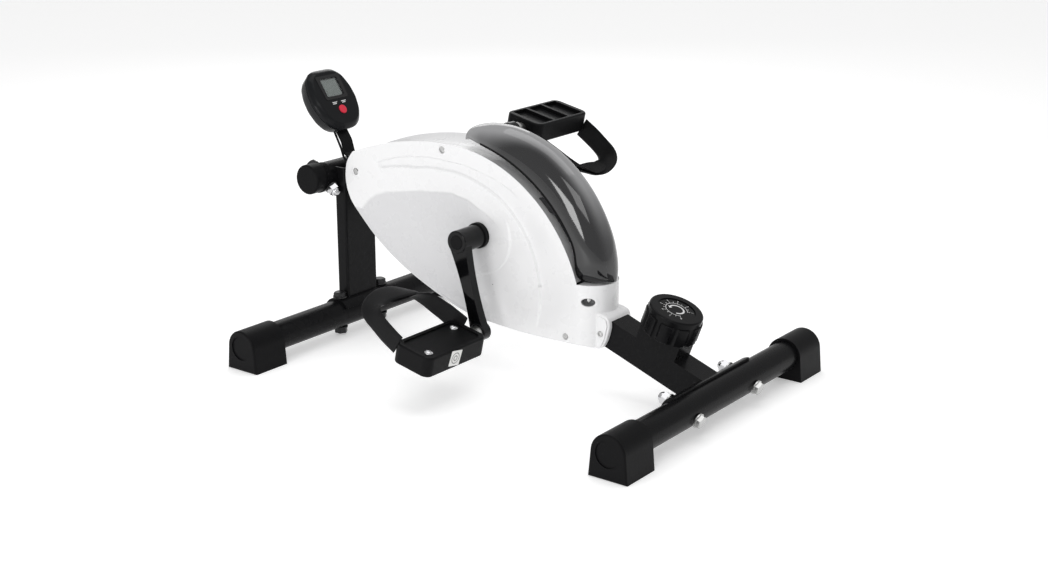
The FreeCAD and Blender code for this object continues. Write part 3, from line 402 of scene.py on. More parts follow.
MEETING = 89.5               # where the two top arcs meet, degrees
LEDGE = 1.5                  # rounding along the flat top of the nose
NOSE_STEPS = 40
TOP_RUN = arc_points(TOP_ARC, 112.2, MEETING, 90) + arc_points(RIM_ARC, MEETING, 17.9, 130)[1:]
LOW_RUN = curve_through([(88, 55), (61, 54.6), (22, 54.4), (-20, 57), (-50, 60), (-92, 73.5), (-143, 96.5),
                         (-182, 122), (-213, 151.5), (-222.5, 163)], 190)
TIP_RUN = curve_through([(-222.5, 163), (-227.5, 175), (-229.5, 190), (-226.5, 206), (-218.0, 218.3)], 50)
NOSE_RIM = NOSE_TOP - LEDGE
NOSE_WRAP = NOSE_END - NOSE_X
NOSE_HEIGHT = NOSE_RIM - NOSE_LOW - LOW_EDGE
NOSE_TOP_RUN = [(NOSE_X + NOSE_WRAP * i / NOSE_STEPS, NOSE_RIM) for i in range(1, NOSE_STEPS + 1)]
NOSE_LOW_RUN = [(NOSE_END - NOSE_WRAP * i / NOSE_STEPS, NOSE_LOW + LOW_EDGE) for i in range(NOSE_STEPS)]
NOSE_END_RUN = [(NOSE_END, NOSE_RIM - NOSE_HEIGHT * i / NOSE_STEPS) for i in range(1, NOSE_STEPS)]
FACE_OUTLINE = TOP_RUN + NOSE_TOP_RUN + NOSE_END_RUN + NOSE_LOW_RUN + LOW_RUN + TIP_RUN[1:-1]
FACE_CENTRE = (-20.0, 100.0)

RELIEF = (-78.0, 95.0)       # centre of the sickle-shaped recess
# angle from +X in degrees, radius of its inner edge
RIDGE = ((-30, 120.3), (55, 121.0), (70, 119.9), (80, 120.2), (95, 121.2), (112, 127.0), (123, 137.0),
         (133, 149.5))
# the same for its outer edge
GROOVE = ((53, 138.5), (60, 135.8), (71, 132.2), (90, 130.6), (109, 137.3), (125, 149.2), (133, 156.5))
# upper edge of the panel, recessed and greyed by painted shade: x, z
PANEL = ((-205, 155), (-197, 164.8), (-185, 173.4), (-170, 179.1), (-121, 187.7), (-76, 192.0), (-52, 187.3),
         (-25, 174.2), (-4, 160.0), (8, 143.0))


SICKLE_DEPTH = 3.0
SICKLE_SOFT = 34.0           # how far the recess takes to fade out where it has no outer edge
PANEL_DEPTH = 1.0
DISC_RISE = 1.3              # the raised disc round the crank axle
DISC_EDGE = (41.5, 43.5)     # radii its outer edge falls between
RELIEF_STEP = 0.9            # half the width of the recess's edges


def sickle(x, z):
    """How far a point lies inside the sickle-shaped recess, 0 to 1."""
    dx = x - RELIEF[0]
    dz = z - RELIEF[1]
    angle = math.degrees(math.atan2(dz, dx))
    radius = math.hypot(dx, dz)
    if angle < -40 or angle > 150:
        return 0.0
    inner = radius - interpolate(RIDGE, angle)
    inside = smoothstep(-RELIEF_STEP, RELIEF_STEP, inner)
    outer = interpolate(GROOVE, angle) - radius
    hard = smoothstep(-RELIEF_STEP, RELIEF_STEP, outer)
    soft = 1 - smoothstep(2.0, SICKLE_SOFT, inner)
    share = smoothstep(46.0, 64.0, angle)
    fade = smoothstep(-24.0, 12.0, angle) * (1 - smoothstep(130.5, 132.5, angle))
    return inside * (hard * share + soft * (1 - share)) * fade


def panel_depth(x, z):
    """How far a point lies inside the recessed panel, 0 to 1; it dies away towards the user's end. It sets
    the panel's depth and how much painted shade greys it.
    """
    edge = interpolate(PANEL, x)
    return smoothstep(-1.5, 1.5, edge - z) * (1 - smoothstep(-62.0, 4.0, x))


def relief(x, z):
    """Depth of the side's relief below the flat face."""
    depth = SICKLE_DEPTH * sickle(x, z)
    depth += PANEL_DEPTH * panel_depth(x, z)
    dx = x - CRANK[0]
    dz = z - CRANK[1]
    radius = math.hypot(dx, dz)
    facing = (dx - dz) / max(radius, 1.0) / math.sqrt(2)
    disc = smoothstep(8.0, 34.0, radius) * (1 - smoothstep(*DISC_EDGE, radius))
    return depth - DISC_RISE * disc * smoothstep(0.1, 0.7, facing)


# station along the side sheet, height, radius, depth and stretch along the sheet of each screw well
WELLS = ((-214.0, 196.0, 3.9, 2.5, 1.0), (-88.0, 237.6, 3.9, 2.5, 1.0), (102.5, 102.5, 4.4, 8.0, 1.75),
         (76.0, 61.5, 3.4, 2.0, 1.0))


SHEET_ROWS = 150
FLAT_FROM = 0.94             # share of the way out from which the relief dies away
WELL_MARGIN = 0.9            # the sheet stops this far outside a well


def side_sheet(build):
    """The relief face, as a fan of quads from its middle, open where the screw wells are."""
    count = len(FACE_OUTLINE)
    base = len(build.points)
    cx, cz = FACE_CENTRE
    flat = []
    for i in range(SHEET_ROWS + 1):
        t = max(0.004, i / SHEET_ROWS)
        for x, z in FACE_OUTLINE:
            s = cx + (x - cx) * t
            h = cz + (z - cz) * t
            edge = smoothstep(FLAT_FROM, 1.0, t)
            flat.append((s, h))
            build.points.append(on_side(s, h, relief(s, h) * (1 - edge)))
    for i in range(SHEET_ROWS):
        for j in range(count):
            k = (j + 1) % count
            s, h = flat[i * count + j]
            if any(math.hypot((s - x) / wide, h - z) < r + WELL_MARGIN for x, z, r, _, wide in WELLS):
                continue
            a = base + i * count
            build.faces.append((a + j, a + k, a + count + k, a + count + j))


RIM_DEPTHS = (12.0, 20.0, HALF - 0.15)   # the two halves stop just short of each other


def edge_strip(build, run, radius, steps=7):
    """Rounded edge along a run of the outline, then the rim in to the middle plane."""
    columns = []
    count = len(run)
    for i, (s, z) in enumerate(run):
        before = run[max(i - 1, 0)]
        after = run[min(i + 1, count - 1)]
        along = Vector((after[0] - before[0], after[1] - before[1])).normalized()
        normal = (-along.y, along.x)
        column = []
        for j in range(steps + 1):
            a = math.pi / 2 * j / steps
            reach = radius * math.sin(a)
            sunk = radius * (1 - math.cos(a))
            column.append(on_side(s + normal[0] * reach, z + normal[1] * reach, sunk))
        for depth in RIM_DEPTHS:
            if depth > radius:
                column.append(on_side(s + normal[0] * radius, z + normal[1] * radius, depth))
        columns.append(column)
    build.loft(columns, closed=False)


WELL_POINTS = 28


def well(build, s0, z0, radius, depth, wide):
    """Flange, wall and floor of a sunk screw hole."""
    rings = []
    for r, d in ((radius + 3.0, 0.25), (radius + 2.4, -0.12), (radius + 0.5, -0.12), (radius, 0.4),
                 (radius - 0.1, depth), (0.2, depth)):
        level = relief(s0, z0) + d
        rings.append(ring_of(r, WELL_POINTS, lambda u, v: on_side(s0 + wide * u, z0 + v, level)))
    build.loft(rings, cap_end=True)


DEEP_WELL = WELLS[2]


def well_shade_lining(side):
    """Painted shade: a dark inner wall and floor in the one deep screw hole, standing in for the shade inside
    it.
    """
    s0, z0, radius, depth, wide = DEEP_WELL
    build = Build()
    rings = []
    for r, d in ((radius - 0.25, 0.9), (radius - 0.35, depth - 0.1), (0.2, depth - 0.1)):
        rings.append(ring_of(r, WELL_POINTS, lambda u, v: on_side(s0 + wide * u, z0 + v, d)))
    build.loft(rings, cap_end=True)
    build.make(side + "_well_shade_lining", WELL_PAINTED_SHADE, "frame", move=mirror_for(side))


# the collar round the arm, seen from the side, and its tab that stands proud with a screw
COLLAR = ((84, 51.5), (104, 51.5), (116.5, 54.0), (121.5, 64.0), (125.5, 79.0), (123.5, 88.5), (113.4, 91.5),
          (104, 92.0), (84, 92))
TAB = ((109.5, 56.5), (115.5, 55.5), (119.8, 65.0), (123.4, 79.5), (121.6, 87.0), (111.0, 89.5))
TAB_SCREW = (115.4, 70.5)
COLLAR_HALF = 20.5
TAB_HALF = 22.3


def collar(build):
    for corners, corner, low, high, bevel in ((COLLAR, 4.0, 0.0, COLLAR_HALF, 2.0),
                                              (TAB, 3.0, 19.0, TAB_HALF, 0.9)):
        rings = slab(round_corners(corners, corner), low, high, bevel)
        build.loft([[(u, -w, v) for u, v, w in ring] for ring in rings], cap_end=True)


def tab_screw(build):
    """Pan head on the collar's tab."""
    x, z = TAB_SCREW
    rings = []
    for r, y in ((3.3, 22.2), (3.3, 22.9), (2.6, 23.6), (1.2, 23.8), (1.0, 23.1), (0.2, 23.1)):
        rings.append(ring_of(r, 24, lambda u, v: (x + u, -y, z + v)))
    build.loft(rings, cap_end=True)


def housing(side):
    """One half of the white housing."""
    build = Build()
    side_sheet(build)
    edge_strip(build, list(reversed(TOP_RUN)), EDGE)
    edge_strip(build, list(reversed(NOSE_TOP_RUN)) + [(NOSE_X, NOSE_RIM)], LEDGE)
    edge_strip(build, list(reversed(NOSE_LOW_RUN + LOW_RUN)), LOW_EDGE)
    edge_strip(build, list(reversed(TIP_RUN)), EDGE)
    for row in WELLS:
        well(build, *row)
    collar(build)
    made = build.make(side + "_housing", LOOKS["white_shell"], "frame",
                      covers=(side + "_shell",), move=mirror_for(side), smooth=40.0)
    # painted shade: this mask greys the recessed panel's colour in the white_shell material
    panel_shade = made.data.attributes.new("panel_shade", "FLOAT", "POINT")
    for vertex, value in zip(build.points, panel_shade.data):
        x, _, z = vertex
        value.value = panel_depth(x, z)
    if side == "far":
        made.data.flip_normals()
    return made


def mirror_for(side):
    if side == "near":
        return lambda p: p
    return lambda p: (p[0], -p[1], p[2])


# ---------------------------------------------------------------- smoked cover
# angle above +X in degrees against crown radius and half width
CROWN = ((5.5, 162.5), (20, 165.5), (40, 167.5), (60, 167.5), (80, 165.5), (90, 163.0), (96, 160.0),
         (101, 156.0))
COVER_LOW = 5.5              # angle of the cover's low end
COVER_HIGH = 98.0            # angle where its rounded tip begins
COVER_THICK = 2.2
COVER_DIP = 9.5              # how far the seat drops onto the nose at the low end
DIP_END = 26.0               # angle where that drop has gone
TIP_REACH = 11.0
TIP_DROP = 3.0
COVER_HALF = ((5.5, 11.0), (6.5, 15.8), (8, 19.4), (10, 22.0), (13, 23.8), (22, 23.4), (45, 22.2), (70, 21.4),
              (84, 20.6), (91, 19.0), (96, 15.5), (99, 12.0))


def seat_radius(angle):
    """Distance from the arch's axis to the housing's rim in a direction."""
    rim_radius = RIM_ARC[2] + EDGE
    ex = COVER[0] - RIM_ARC[0]
    ez = COVER[1] - RIM_ARC[1]
    along = ex * math.cos(angle) + ez * math.sin(angle)
    return -along + math.sqrt(along * along - ex * ex - ez * ez + rim_radius ** 2)


def seat_dip(degrees):
    return COVER_DIP * (1 - smoothstep(COVER_LOW, DIP_END, degrees))


def cover_ring(degrees, inset, count=44):
    """One arch of the cover, from its near edge over the crown to its far edge."""
    angle = math.radians(degrees)
    half = interpolate(COVER_HALF, degrees) - inset
    seat = seat_radius(angle) - seat_dip(degrees) - 0.5
    crown = interpolate(CROWN, degrees) - inset
    ring = []
    for i in range(count + 1):
        t = math.pi * i / count
        radius = seat + (crown - seat) * max(0.0, math.sin(t)) ** 0.82
        x = COVER[0] + radius * math.cos(angle)
        z = COVER[1] + radius * math.sin(angle)
        ring.append((x, -half * math.cos(t), z))
    return ring


def cover_shell(inset):
    """Rings of the cover, ending in a rounded tip over the housing."""
    steps = 70
    rings = [cover_ring(COVER_LOW + (COVER_HIGH - COVER_LOW) * i / steps, inset) for i in range(steps + 1)]
    tip_ring = rings[-1]
    tip_angle = math.radians(COVER_HIGH)
    out = (-math.sin(tip_angle), math.cos(tip_angle))
    seat = seat_radius(tip_angle)
    for i in range(1, 9):
        a = math.pi / 2 * i / 8
        keep = math.cos(a)
        push = (TIP_REACH - inset) * math.sin(a)
        ring = []
        for x, y, z in tip_ring:
            radius = math.hypot(x - COVER[0], z - COVER[1])
            radius = seat + (radius - seat) * keep - TIP_DROP * math.sin(a)
            x1 = COVER[0] + radius * math.cos(tip_angle) + out[0] * push
            z1 = COVER[1] + radius * math.sin(tip_angle) + out[1] * push
            ring.append((x1, y * keep, z1))
        rings.append(ring)
    return rings


def clip_low(rings):
    """Ends the cover on the nose's flat top."""
    return [[(x, y, max(z, NOSE_TOP + 0.2)) for x, y, z in ring] for ring in rings]


def smoked_cover():
    build = Build()
    outer = clip_low(cover_shell(0.0))
    inner = clip_low(cover_shell(COVER_THICK))
    build.loft(outer, closed=False)
    build.loft(list(reversed(inner)), closed=False)
    near_rim = [[a[0], b[0]] for a, b in zip(outer, inner)]
    far_rim = [[b[-1], a[-1]] for a, b in zip(outer, inner)]
    build.loft(near_rim, closed=False)
    build.loft(far_rim, closed=False)
    build.loft([outer[0], inner[0]], closed=False)
    made = build.make("smoked_arch", LOOKS["smoked_shell"], "frame", smooth=50.0,
                      covers=("smoked_cover",))
    # painted reflection: the crown mask paints the cover paler along its crown
    crown = made.data.attributes.new("crown", "FLOAT", "POINT")
    for vertex, value in zip(build.points, crown.data):
        value.value = crown_sheen_share(*vertex)
    return made


LIP_SPAN = (9.0, 90.0)       # angles the cover's seal runs between


def cover_lip():
    """Dark seal along both lower edges of the cover."""
    build = Build()
    for side in (-1, 1):
        rings = []
        for i in range(61):
            degrees = LIP_SPAN[0] + (LIP_SPAN[1] - LIP_SPAN[0]) * i / 60
            angle = math.radians(degrees)
            seat = seat_radius(angle) - seat_dip(degrees)
            half = interpolate(COVER_HALF, degrees)
            ring = []
            for dr, dy in ((-0.6, 0.9), (0.7, 0.9), (1.3, 0.1), (0.7, -0.8), (-0.6, -0.8)):
                radius = seat + dr
                ring.append((COVER[0] + radius * math.cos(angle), side * (half + dy),
                             COVER[1] + radius * math.sin(angle)))
            rings.append(ring)
        build.loft(rings, cap_start=True, cap_end=True)
    build.make("cover_lip", LOOKS["black_plastic"], "frame")


def crown_sheen_share(x, y, z):
    """Painted reflection: how pale the cover is painted, palest along the crown and darkest at its low end
    and near flank, standing in for the overhead light's reflection.
    """
    angle = math.degrees(math.atan2(z - COVER[1], x - COVER[0]))
    across = smoothstep(-15.0, -4.0, y + 9.0 * smoothstep(60.0, 88.0, angle))
    return across * (0.12 + 0.88 * smoothstep(18.0, 48.0, angle))


# ---------------------------------------------------------------- pedals
def crank_end(side):
    sign = 1 if side == "near" else -1
    x = CRANK[0] + sign * CRANK_LEN * math.sin(CRANK_LEAN)
    z = CRANK[1] - sign * CRANK_LEN * math.cos(CRANK_LEAN)
    return x, z


def pedal_place(side):
    """Maps the pedal's own frame, shaft along Y at its origin, to the stations."""
    x0, z0 = crank_end(side)
    turn = PEDAL_TILT + (math.pi if side == "far" else 0.0)
    c = math.cos(turn)
    s = math.sin(turn)
    mirror = -1 if side == "far" else 1

    def move(p):
        x, y, z = p
        return (x0 + c * x + s * z, mirror * (y - PEDAL_Y), z0 - s * x + c * z)

    return move


# middle of the band, its width direction and half width, from one end over the foot
INNER_BAND = (
    ((-8, 44.2, 8), (1, 0, 0.2), 13.0),
    ((-22, 44.7, 12), (0.75, 0, 0.65), 12.5),
    ((-40, 44.2, 16.2), (0.55, 0, 0.85), 12.0),
    ((-57.5, 39, 21.6), (0.7, 0, 0.7), 11.5),
    ((-67.5, 25.6, 26.5), (0.9, 0, 0.35), 11.5),
    ((-72, 6, 30.0), (1, 0, -0.1), 11.5),
    ((-72, -8, 30.4), (1, 0, -0.12), 10.5),
    ((-71.5, -18, 29.8), (1, 0, -0.1), 6.0),
)
OUTER_BAND = (
    ((-20, -44.4, 8), (0.95, 0, 0.3), 12.5),
    ((-40, -45.2, 16.5), (0.6, 0, 0.75), 12.0),
    ((-58, -43, 25), (0.8, 0, 0.5), 11.8),
    ((-68.5, -33, 30.0), (0.95, 0, 0.1), 12.0),
    ((-72.5, -15, 33.4), (1, 0, -0.12), 12.0),
    ((-72, 4, 33.2), (1, 0, -0.1), 12.0),
    ((-69, 20, 30.8), (0.97, 0, 0.1), 11.5),
    ((-67, 27, 29.2), (0.95, 0, 0.2), 9.0),
    ((-65.6, 31, 28.0), (0.93, 0, 0.25), 4.5),
)
BAND_THICK = 2.4
BAND_TURN = 36.0             # past this y a band runs down beside the foot
BAND_CROWN = 0.5             # the middle of its width stands this much proud


def band(build, stations, per_span=7):
    """Moulded strap with rounded edges, along a smooth line through its stations."""
    centres = curve_through([s[0] for s in stations], (len(stations) - 1) * per_span + 1)
    widths = curve_through([s[1] for s in stations], len(centres))
    halves = curve_through([(s[2],) for s in stations], len(centres))
    rings = []
    across_steps = 14
    for i, centre in enumerate(centres):
        here = Vector(centre)
        along = (Vector(centres[min(i + 1, len(centres) - 1)]) - Vector(centres[max(i - 1, 0)])).normalized()
        width = Vector(widths[i])
        across = (width - along * width.dot(along)).normalized()
        out = across.cross(along).normalized()
        on_top = abs(here.y) < BAND_TURN
        if (on_top and out.z < 0) or (not on_top and out.y * here.y < 0):
            out = -out
        half = halves[i][0]
        ring = []
        for j in range(across_steps + 1):
            u = -1 + 2 * j / across_steps
            lift = BAND_THICK / 2 * (1 - abs(u) ** 8) ** 0.5 + BAND_CROWN * (1 - u * u)
            ring.append(tuple(here + across * (half * u) + out * lift))
        for j in range(1, across_steps):
            u = 1 - 2 * j / across_steps
            lift = -BAND_THICK / 2 * (1 - abs(u) ** 8) ** 0.5 + BAND_CROWN * (1 - u * u)
            ring.append(tuple(here + across * (half * u) + out * lift))
        rings.append(ring)
    build.loft(rings, cap_start=True, cap_end=True)


def strap(side):
    build = Build()
    band(build, INNER_BAND)
    band(build, OUTER_BAND)
    return build.make(side + "_foot_strap", LOOKS["strap_black"], side + "_pedal",
                      covers=(side + "_strap",), move=pedal_place(side), smooth=50.0)


RIVETS = ((-11.0, 33.0), (11.0, -33.0))


def rivet_heads(side):
    """Domed heads of the two rivets through the tread."""
    build = Build()
    for x, y in RIVETS:
        rings = []
        for r, z in ((4.9, 9.0), (4.9, 9.6), (4.4, 10.6), (3.2, 11.4), (1.6, 11.9), (0.3, 12.0)):
            rings.append(ring_of(r, 24, lambda u, v: (x + u, y + v, z)))
        build.loft(rings, cap_end=True)
    return build.make(side + "_rivet_heads", LOOKS["chrome"], side + "_pedal",
                      covers=(side + "_rivets",), move=pedal_place(side))


LABEL_FACE = 24.0            # the pedal's front face
LABEL_SPOT = (-4.0, 0.5)     # the label's middle on it: y, z
LABEL_TILT = math.radians(-10)
LABEL_HALF = 8.5


def reflector_label(side):
    """Small pale label with a round mark on the pedal's front face."""
    move = pedal_place(side)

    def on_face(u, v, lift):
        y = LABEL_SPOT[0] + u * math.cos(LABEL_TILT) - v * math.sin(LABEL_TILT)
        z = LABEL_SPOT[1] + u * math.sin(LABEL_TILT) + v * math.cos(LABEL_TILT)
        return (LABEL_FACE + lift, y, z)

    base = Build()
    h = LABEL_HALF
    square = round_corners(((-h, -h), (h, -h), (h, h), (-h, h)), 1.0, 3)
    base.loft([[on_face(u, v, lift) for u, v in square] for lift in (0.02, 0.16)], cap_end=True)
    base.make(side + "_pedal_label", LABEL_WHITE, side + "_pedal", move=move)
    marks = Build()
    for inner, outer in ((5.2, 6.3), (2.0, 3.2)):
        marks.loft([ring_of(r, 36, lambda u, v: on_face(u, v, 0.22)) for r in (inner, outer)])
    marks.make(side + "_label_mark", LABEL_GREY, side + "_pedal", move=move)


# ---------------------------------------------------------------- knob
KNOB_ALONG = 72.0            # from the front stabilizer's axis up the arm
ARM_FOOT = (240.0, 26.0)     # where the arm's axis starts: x, z
KNOB_FACE = 15.0 + 17.5 + 1.0 + 27.0   # half the arm, the bracket, a gap and the knob
DIAL_SINK = 1.0              # the dial lies this deep in the knob's face
PRINT_LIFT = 0.12
NUMBER_SIZE = 3.6
NUMBER_RADIUS = 16.6


def knob_place(p):
    """Maps (along the arm, across, height over the arm's axis) to the stations."""
    u, v, w = p
    c = math.cos(ARM_TILT)
    s = math.sin(ARM_TILT)
    root_x = ARM_FOOT[0] - KNOB_ALONG * c
    root_z = ARM_FOOT[1] + KNOB_ALONG * s
    return (root_x + u * c + w * s, v, root_z - u * s + w * c)


def knob_print():
    """Ring, ticks, a round arrow and numbers on the knob's face."""
    level = KNOB_FACE - DIAL_SINK + PRINT_LIFT
    build = Build()

    def dial(r, degrees):
        angle = math.radians(degrees)
        return knob_place((r * math.cos(angle), r * math.sin(angle), level))

    def band_arc(inner, outer, start, end, count):
        degrees = [start + (end - start) * i / count for i in range(count + 1)]
        build.loft([[dial(r, d) for d in degrees] for r in (inner, outer)], closed=False)

    band_arc(6.6, 8.4, -60, 190, 40)
    band_arc(11.3, 11.9, 35, 325, 60)
    for i in range(15):
        a = 40 + 20 * i
        band_arc(12.6, 14.2, a - 1.4, a + 1.4, 2)
    base = len(build.points)
    build.points.extend(dial(r, a) for r, a in ((5.0, 190), (10.0, 190), (7.5, 218)))
    build.faces.append((base, base + 1, base + 2))
    build.make("knob_scale", PRINT_WHITE, "knob_set")
    for number in range(8):
        text = bpy.data.curves.new("knob_number", "FONT")
        text.body = str(number + 1)
        text.size = NUMBER_SIZE * MM
        text.extrude = 0.03 * MM
        text.align_x = "CENTER"
        text.align_y = "CENTER"
        text.materials.append(PRINT_WHITE)
        made = bpy.data.objects.new("knob_number_%d" % (number + 1), text)
        angle = math.radians(40 + 40 * number)
        centre = place(*dial(NUMBER_RADIUS, 40 + 40 * number))
        turn = Matrix.Rotation(ARM_TILT, 4, "Y") @ Matrix.Rotation(angle - math.pi / 2, 4, "Z")
        made.matrix_world = Matrix.Translation(centre) @ turn
        bpy.context.scene.collection.objects.link(made)
        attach(made, "knob_set")


# ---------------------------------------------------------------- monitor
def monitor_place(p):
    """Maps (across, up the face, out of the face) to the stations."""
    u, v, w = p
    c = math.cos(MONITOR_TILT)
    s = math.sin(MONITOR_TILT)
    return (MONITOR[0] - s * v + c * w, u, MONITOR[1] + c * v + s * w)


# right half of the monitor's outline: across, up the face
MONITOR_HALF = ((11, 38.8), (18, 37.5), (27, 30.5), (32.6, 15.0), (33.8, -2.0), (29.5, -19.0), (22.5, -29.5),
                (14.0, -34.6), (6.5, -35.8))


def monitor_outline(scale):
    right = [(x * scale, y * scale) for x, y in reversed(MONITOR_HALF)]
    left = [(-x, y) for x, y in reversed(right)]
    return round_corners(right + left, 5.0 * scale, 4)


WINDOW_MIDDLE = 14.4         # height of the window's middle up the face
CASE_SHARP = 24.0


def monitor_case():
    """Front bezel with a bevelled edge and a window, and the tub behind the seam."""
    front = Build()
    rings = []
    for scale, level in ((0.985, -9.0), (1.0, -8.2), (1.0, -5.6), (0.985, -4.6), (0.93, -2.0), (0.885, -0.5),
                         (0.86, 0.0)):
        rings.append([(u, v, level) for u, v in monitor_outline(scale)])
    front.loft(rings)
    outer = rings[-1]
    window = round_corners(((-13.2, 3.2), (13.2, 3.2), (13.2, 25.6), (-13.2, 25.6)), 1.5, 4)
    middle = WINDOW_MIDDLE
    hole = resample(window, outer, (0.0, middle))
    front.loft([outer, [(u, v, 0.0) for u, v in hole], [(u * 0.97, v, -0.8) for u, v in hole],
                [(u * 0.95, middle + (v - middle) * 0.95, -2.0) for u, v in hole]])
    front.make("monitor_bezel", LOOKS["monitor_grey"], "frame", smooth=CASE_SHARP,
               covers=("monitor_front_shell",), move=monitor_place)
    tub = Build()
    rings = []
    for scale, level in ((0.72, -25.0), (0.80, -24.6), (0.88, -22.6), (0.93, -19.0), (0.965, -13.0),
                         (0.985, -9.8), (0.965, -9.3), (0.965, -9.0)):
        rings.append([(u, v, level) for u, v in monitor_outline(scale)])
    tub.loft(rings, cap_start=True)
    tub.make("monitor_tub", LOOKS["monitor_grey"], "frame", smooth=CASE_SHARP,
             covers=("monitor_rear_shell",), move=monitor_place)


def resample(inner, outer, centre):
    """Points of an inner outline in the directions of an outer outline's points."""
    cx, cy = centre
    result = []
    for u, v, _ in outer:
        direction = Vector((u - cx, v - cy)).normalized()
        best = None
        for i in range(len(inner)):
            a = Vector(inner[i - 1]) - Vector(centre)
            b = Vector(inner[i]) - Vector(centre)
            edge = b - a
            cross = direction.x * edge.y - direction.y * edge.x
            if abs(cross) < 1e-9:
                continue
            t = (a.x * edge.y - a.y * edge.x) / cross
            w = (a.x * direction.y - a.y * direction.x) / cross
            if t > 0 and -1e-6 <= w <= 1 + 1e-6:
                best = t if best is None else max(best, t)
        result.append((cx + direction.x * best, cy + direction.y * best))
    return result


def monitor_marks():
    """Trim round the display, and two small generic marks over the button."""
    trim = Build()
    outer = round_corners(((-17.4, -0.4), (17.4, -0.4), (19.0, 29.4), (-19.0, 29.4)), 2.5, 5)
    inner = round_corners(((-13.3, 3.1), (13.3, 3.1), (13.3, 25.7), (-13.3, 25.7)), 1.5, 5)
    trim.loft([[(u, v, level) for u, v in outline]
               for outline, level in ((outer, 0.0), (outer, 0.5), (inner, 0.5), (inner, -1.0))])
    trim.make("display_trim", DISPLAY_TRIM, "frame", move=monitor_place)
    marks = Build()
    for x0, y0, width in ((-10.5, -4.6, 7.5), (-10.5, -6.4, 6.0), (3.5, -4.6, 7.5), (4.5, -6.4, 5.0)):
        outline = [(x0, y0), (x0 + width, y0), (x0 + width, y0 + 0.9), (x0, y0 + 0.9)]
        marks.loft([[(u, v, -0.1) for u, v in outline], [(u, v, 0.1) for u, v in outline]], cap_end=True)
    marks.make("monitor_marks", PRINT_WHITE, "frame", move=monitor_place)


# ---------------------------------------------------------------- small trim
def screw_heads():
    """Cross-head screws at the bottom of the housing's wells."""
    for side in ("near", "far"):
        build = Build()
        for s0, z0, radius, depth, _ in WELLS:
            floor = relief(s0, z0) + depth
            head = min(3.2, radius - 0.5)
            rings = []
            for r, d in ((head, 0.0), (head, 0.9), (head * 0.7, 1.3), (head * 0.3, 1.4)):
                rings.append(ring_of(r, 20, lambda u, v: on_side(s0 + u, z0 + v, floor - d)))
            build.loft(rings, cap_end=True)
        tab_screw(build)
        build.make(side + "_screw_heads", LOOKS["zinc_steel"], "frame", move=mirror_for(side))


HANDLE = (-263.0, 184.5)     # axis of the carrying handle: x, z


def handle_ribs():
    """Short grip ribs at the inner ends of the handle's caps."""
    build = Build()
    for side in (-1, 1):
        for i in range(5):
            y = side * (40.0 - 2.4 * i)
            rings = []
            for dy, r in ((-0.7, 15.0), (-0.5, 15.5), (0.5, 15.5), (0.7, 15.0)):
                rings.append(ring_of(r, 24, lambda u, v: (HANDLE[0] + u, y + dy, HANDLE[1] + v)))
            build.loft(rings)
    build.make("handle_ribs", LOOKS["foot_rubber"], "frame")


# ---------------------------------------------------------------- stage
FLOOR_GLOW = 0.3             # keeps the floor as pale as a lit studio floor
FLOOR_REACH = 14.0           # metres from the middle to an edge
SKY_LIGHT = 0.62


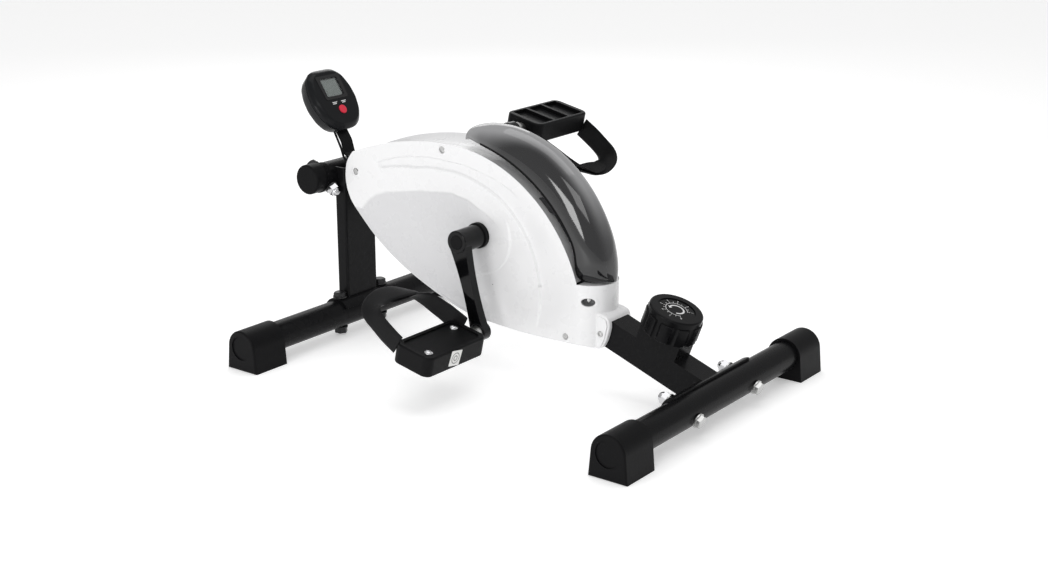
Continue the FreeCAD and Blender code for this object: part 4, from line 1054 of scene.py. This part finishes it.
def stage():
    """Pale floor and an even white surround."""
    floor_mesh = bpy.data.meshes.new("floor")
    corners = [(x * FLOOR_REACH, y * FLOOR_REACH, 0) for x, y in ((-1, -1), (1, -1), (1, 1), (-1, 1))]
    floor_mesh.from_pydata(corners, [], [(0, 1, 2, 3)])
    floor_look = bpy.data.materials.new("floor")
    floor_look.use_nodes = True
    shader = floor_look.node_tree.nodes["Principled BSDF"]
    shader.inputs["Base Color"].default_value = (0.97, 0.97, 0.97, 1.0)
    shader.inputs["Roughness"].default_value = 0.6
    shader.inputs["Specular IOR Level"].default_value = 0.2
    shader.inputs["Emission Color"].default_value = (1.0, 1.0, 1.0, 1.0)
    shader.inputs["Emission Strength"].default_value = FLOOR_GLOW
    floor_mesh.materials.append(floor_look)
    floor = bpy.data.objects.new("floor", floor_mesh)
    bpy.context.scene.collection.objects.link(floor)

    world = bpy.data.worlds.new("studio")
    world.use_nodes = True
    background = world.node_tree.nodes["Background"]
    background.inputs["Color"].default_value = (1.0, 1.0, 1.0, 1.0)
    background.inputs["Strength"].default_value = SKY_LIGHT
    bpy.context.scene.world = world


def softbox(name, spot, target, width, height, power):
    light = bpy.data.lights.new(name, "AREA")
    light.shape = "RECTANGLE"
    light.size = width
    light.size_y = height
    light.energy = power
    made = bpy.data.objects.new(name, light)
    spot = Vector(spot)
    made.location = spot
    made.rotation_euler = (Vector(target) - spot).to_track_quat("-Z", "Y").to_euler()
    bpy.context.scene.collection.objects.link(made)


def lights():
    softbox("top_softbox", (0.0, 0.1, 1.7), (0.0, 0.0, 0.1), 1.6, 1.2, 7.0)
    softbox("key_softbox", (0.9, -1.5, 1.3), (0.0, 0.0, 0.15), 0.9, 0.7, 5.0)
    softbox("back_softbox", (-1.2, 1.3, 1.0), (0.0, 0.0, 0.15), 1.0, 0.8, 3.0)
    softbox("window_softbox", (-0.05, -1.15, 0.33), (0.09, 0.0, 0.2), 0.36, 0.3, 2.4)


LENS = 56.13                 # millimetres, on a 36 mm wide sensor
EYE = (1011.4, -1337.0, 620.0)
LOOK = (-0.5759, 0.7615, -0.2974)
LEVEL_RIGHT = (0.7976, 0.6032, 0.0)


def camera():
    """Looks down 17.3 degrees from the near right."""
    data = bpy.data.cameras.new("camera")
    data.lens = LENS
    data.sensor_width = 36.0
    data.clip_start = 0.05
    made = bpy.data.objects.new("camera", data)
    forward = Vector(LOOK)
    right = Vector(LEVEL_RIGHT).normalized()
    forward.normalize()
    up = right.cross(forward)
    matrix = Matrix((right, up, -forward)).transposed().to_4x4()
    matrix.translation = place(*EYE)
    made.matrix_world = matrix
    bpy.context.scene.collection.objects.link(made)
    bpy.context.scene.camera = made
    bpy.context.scene.view_settings.view_transform = "Standard"


def main():
    dress_cad()
    camera()
    stage()
    lights()
    for side in ("near", "far"):
        housing(side)
        well_shade_lining(side)
        strap(side)
        rivet_heads(side)
    reflector_label("near")
    reflector_label("far")
    smoked_cover()
    cover_lip()
    knob_print()
    monitor_case()
    monitor_marks()
    screw_heads()
    handle_ribs()


main()
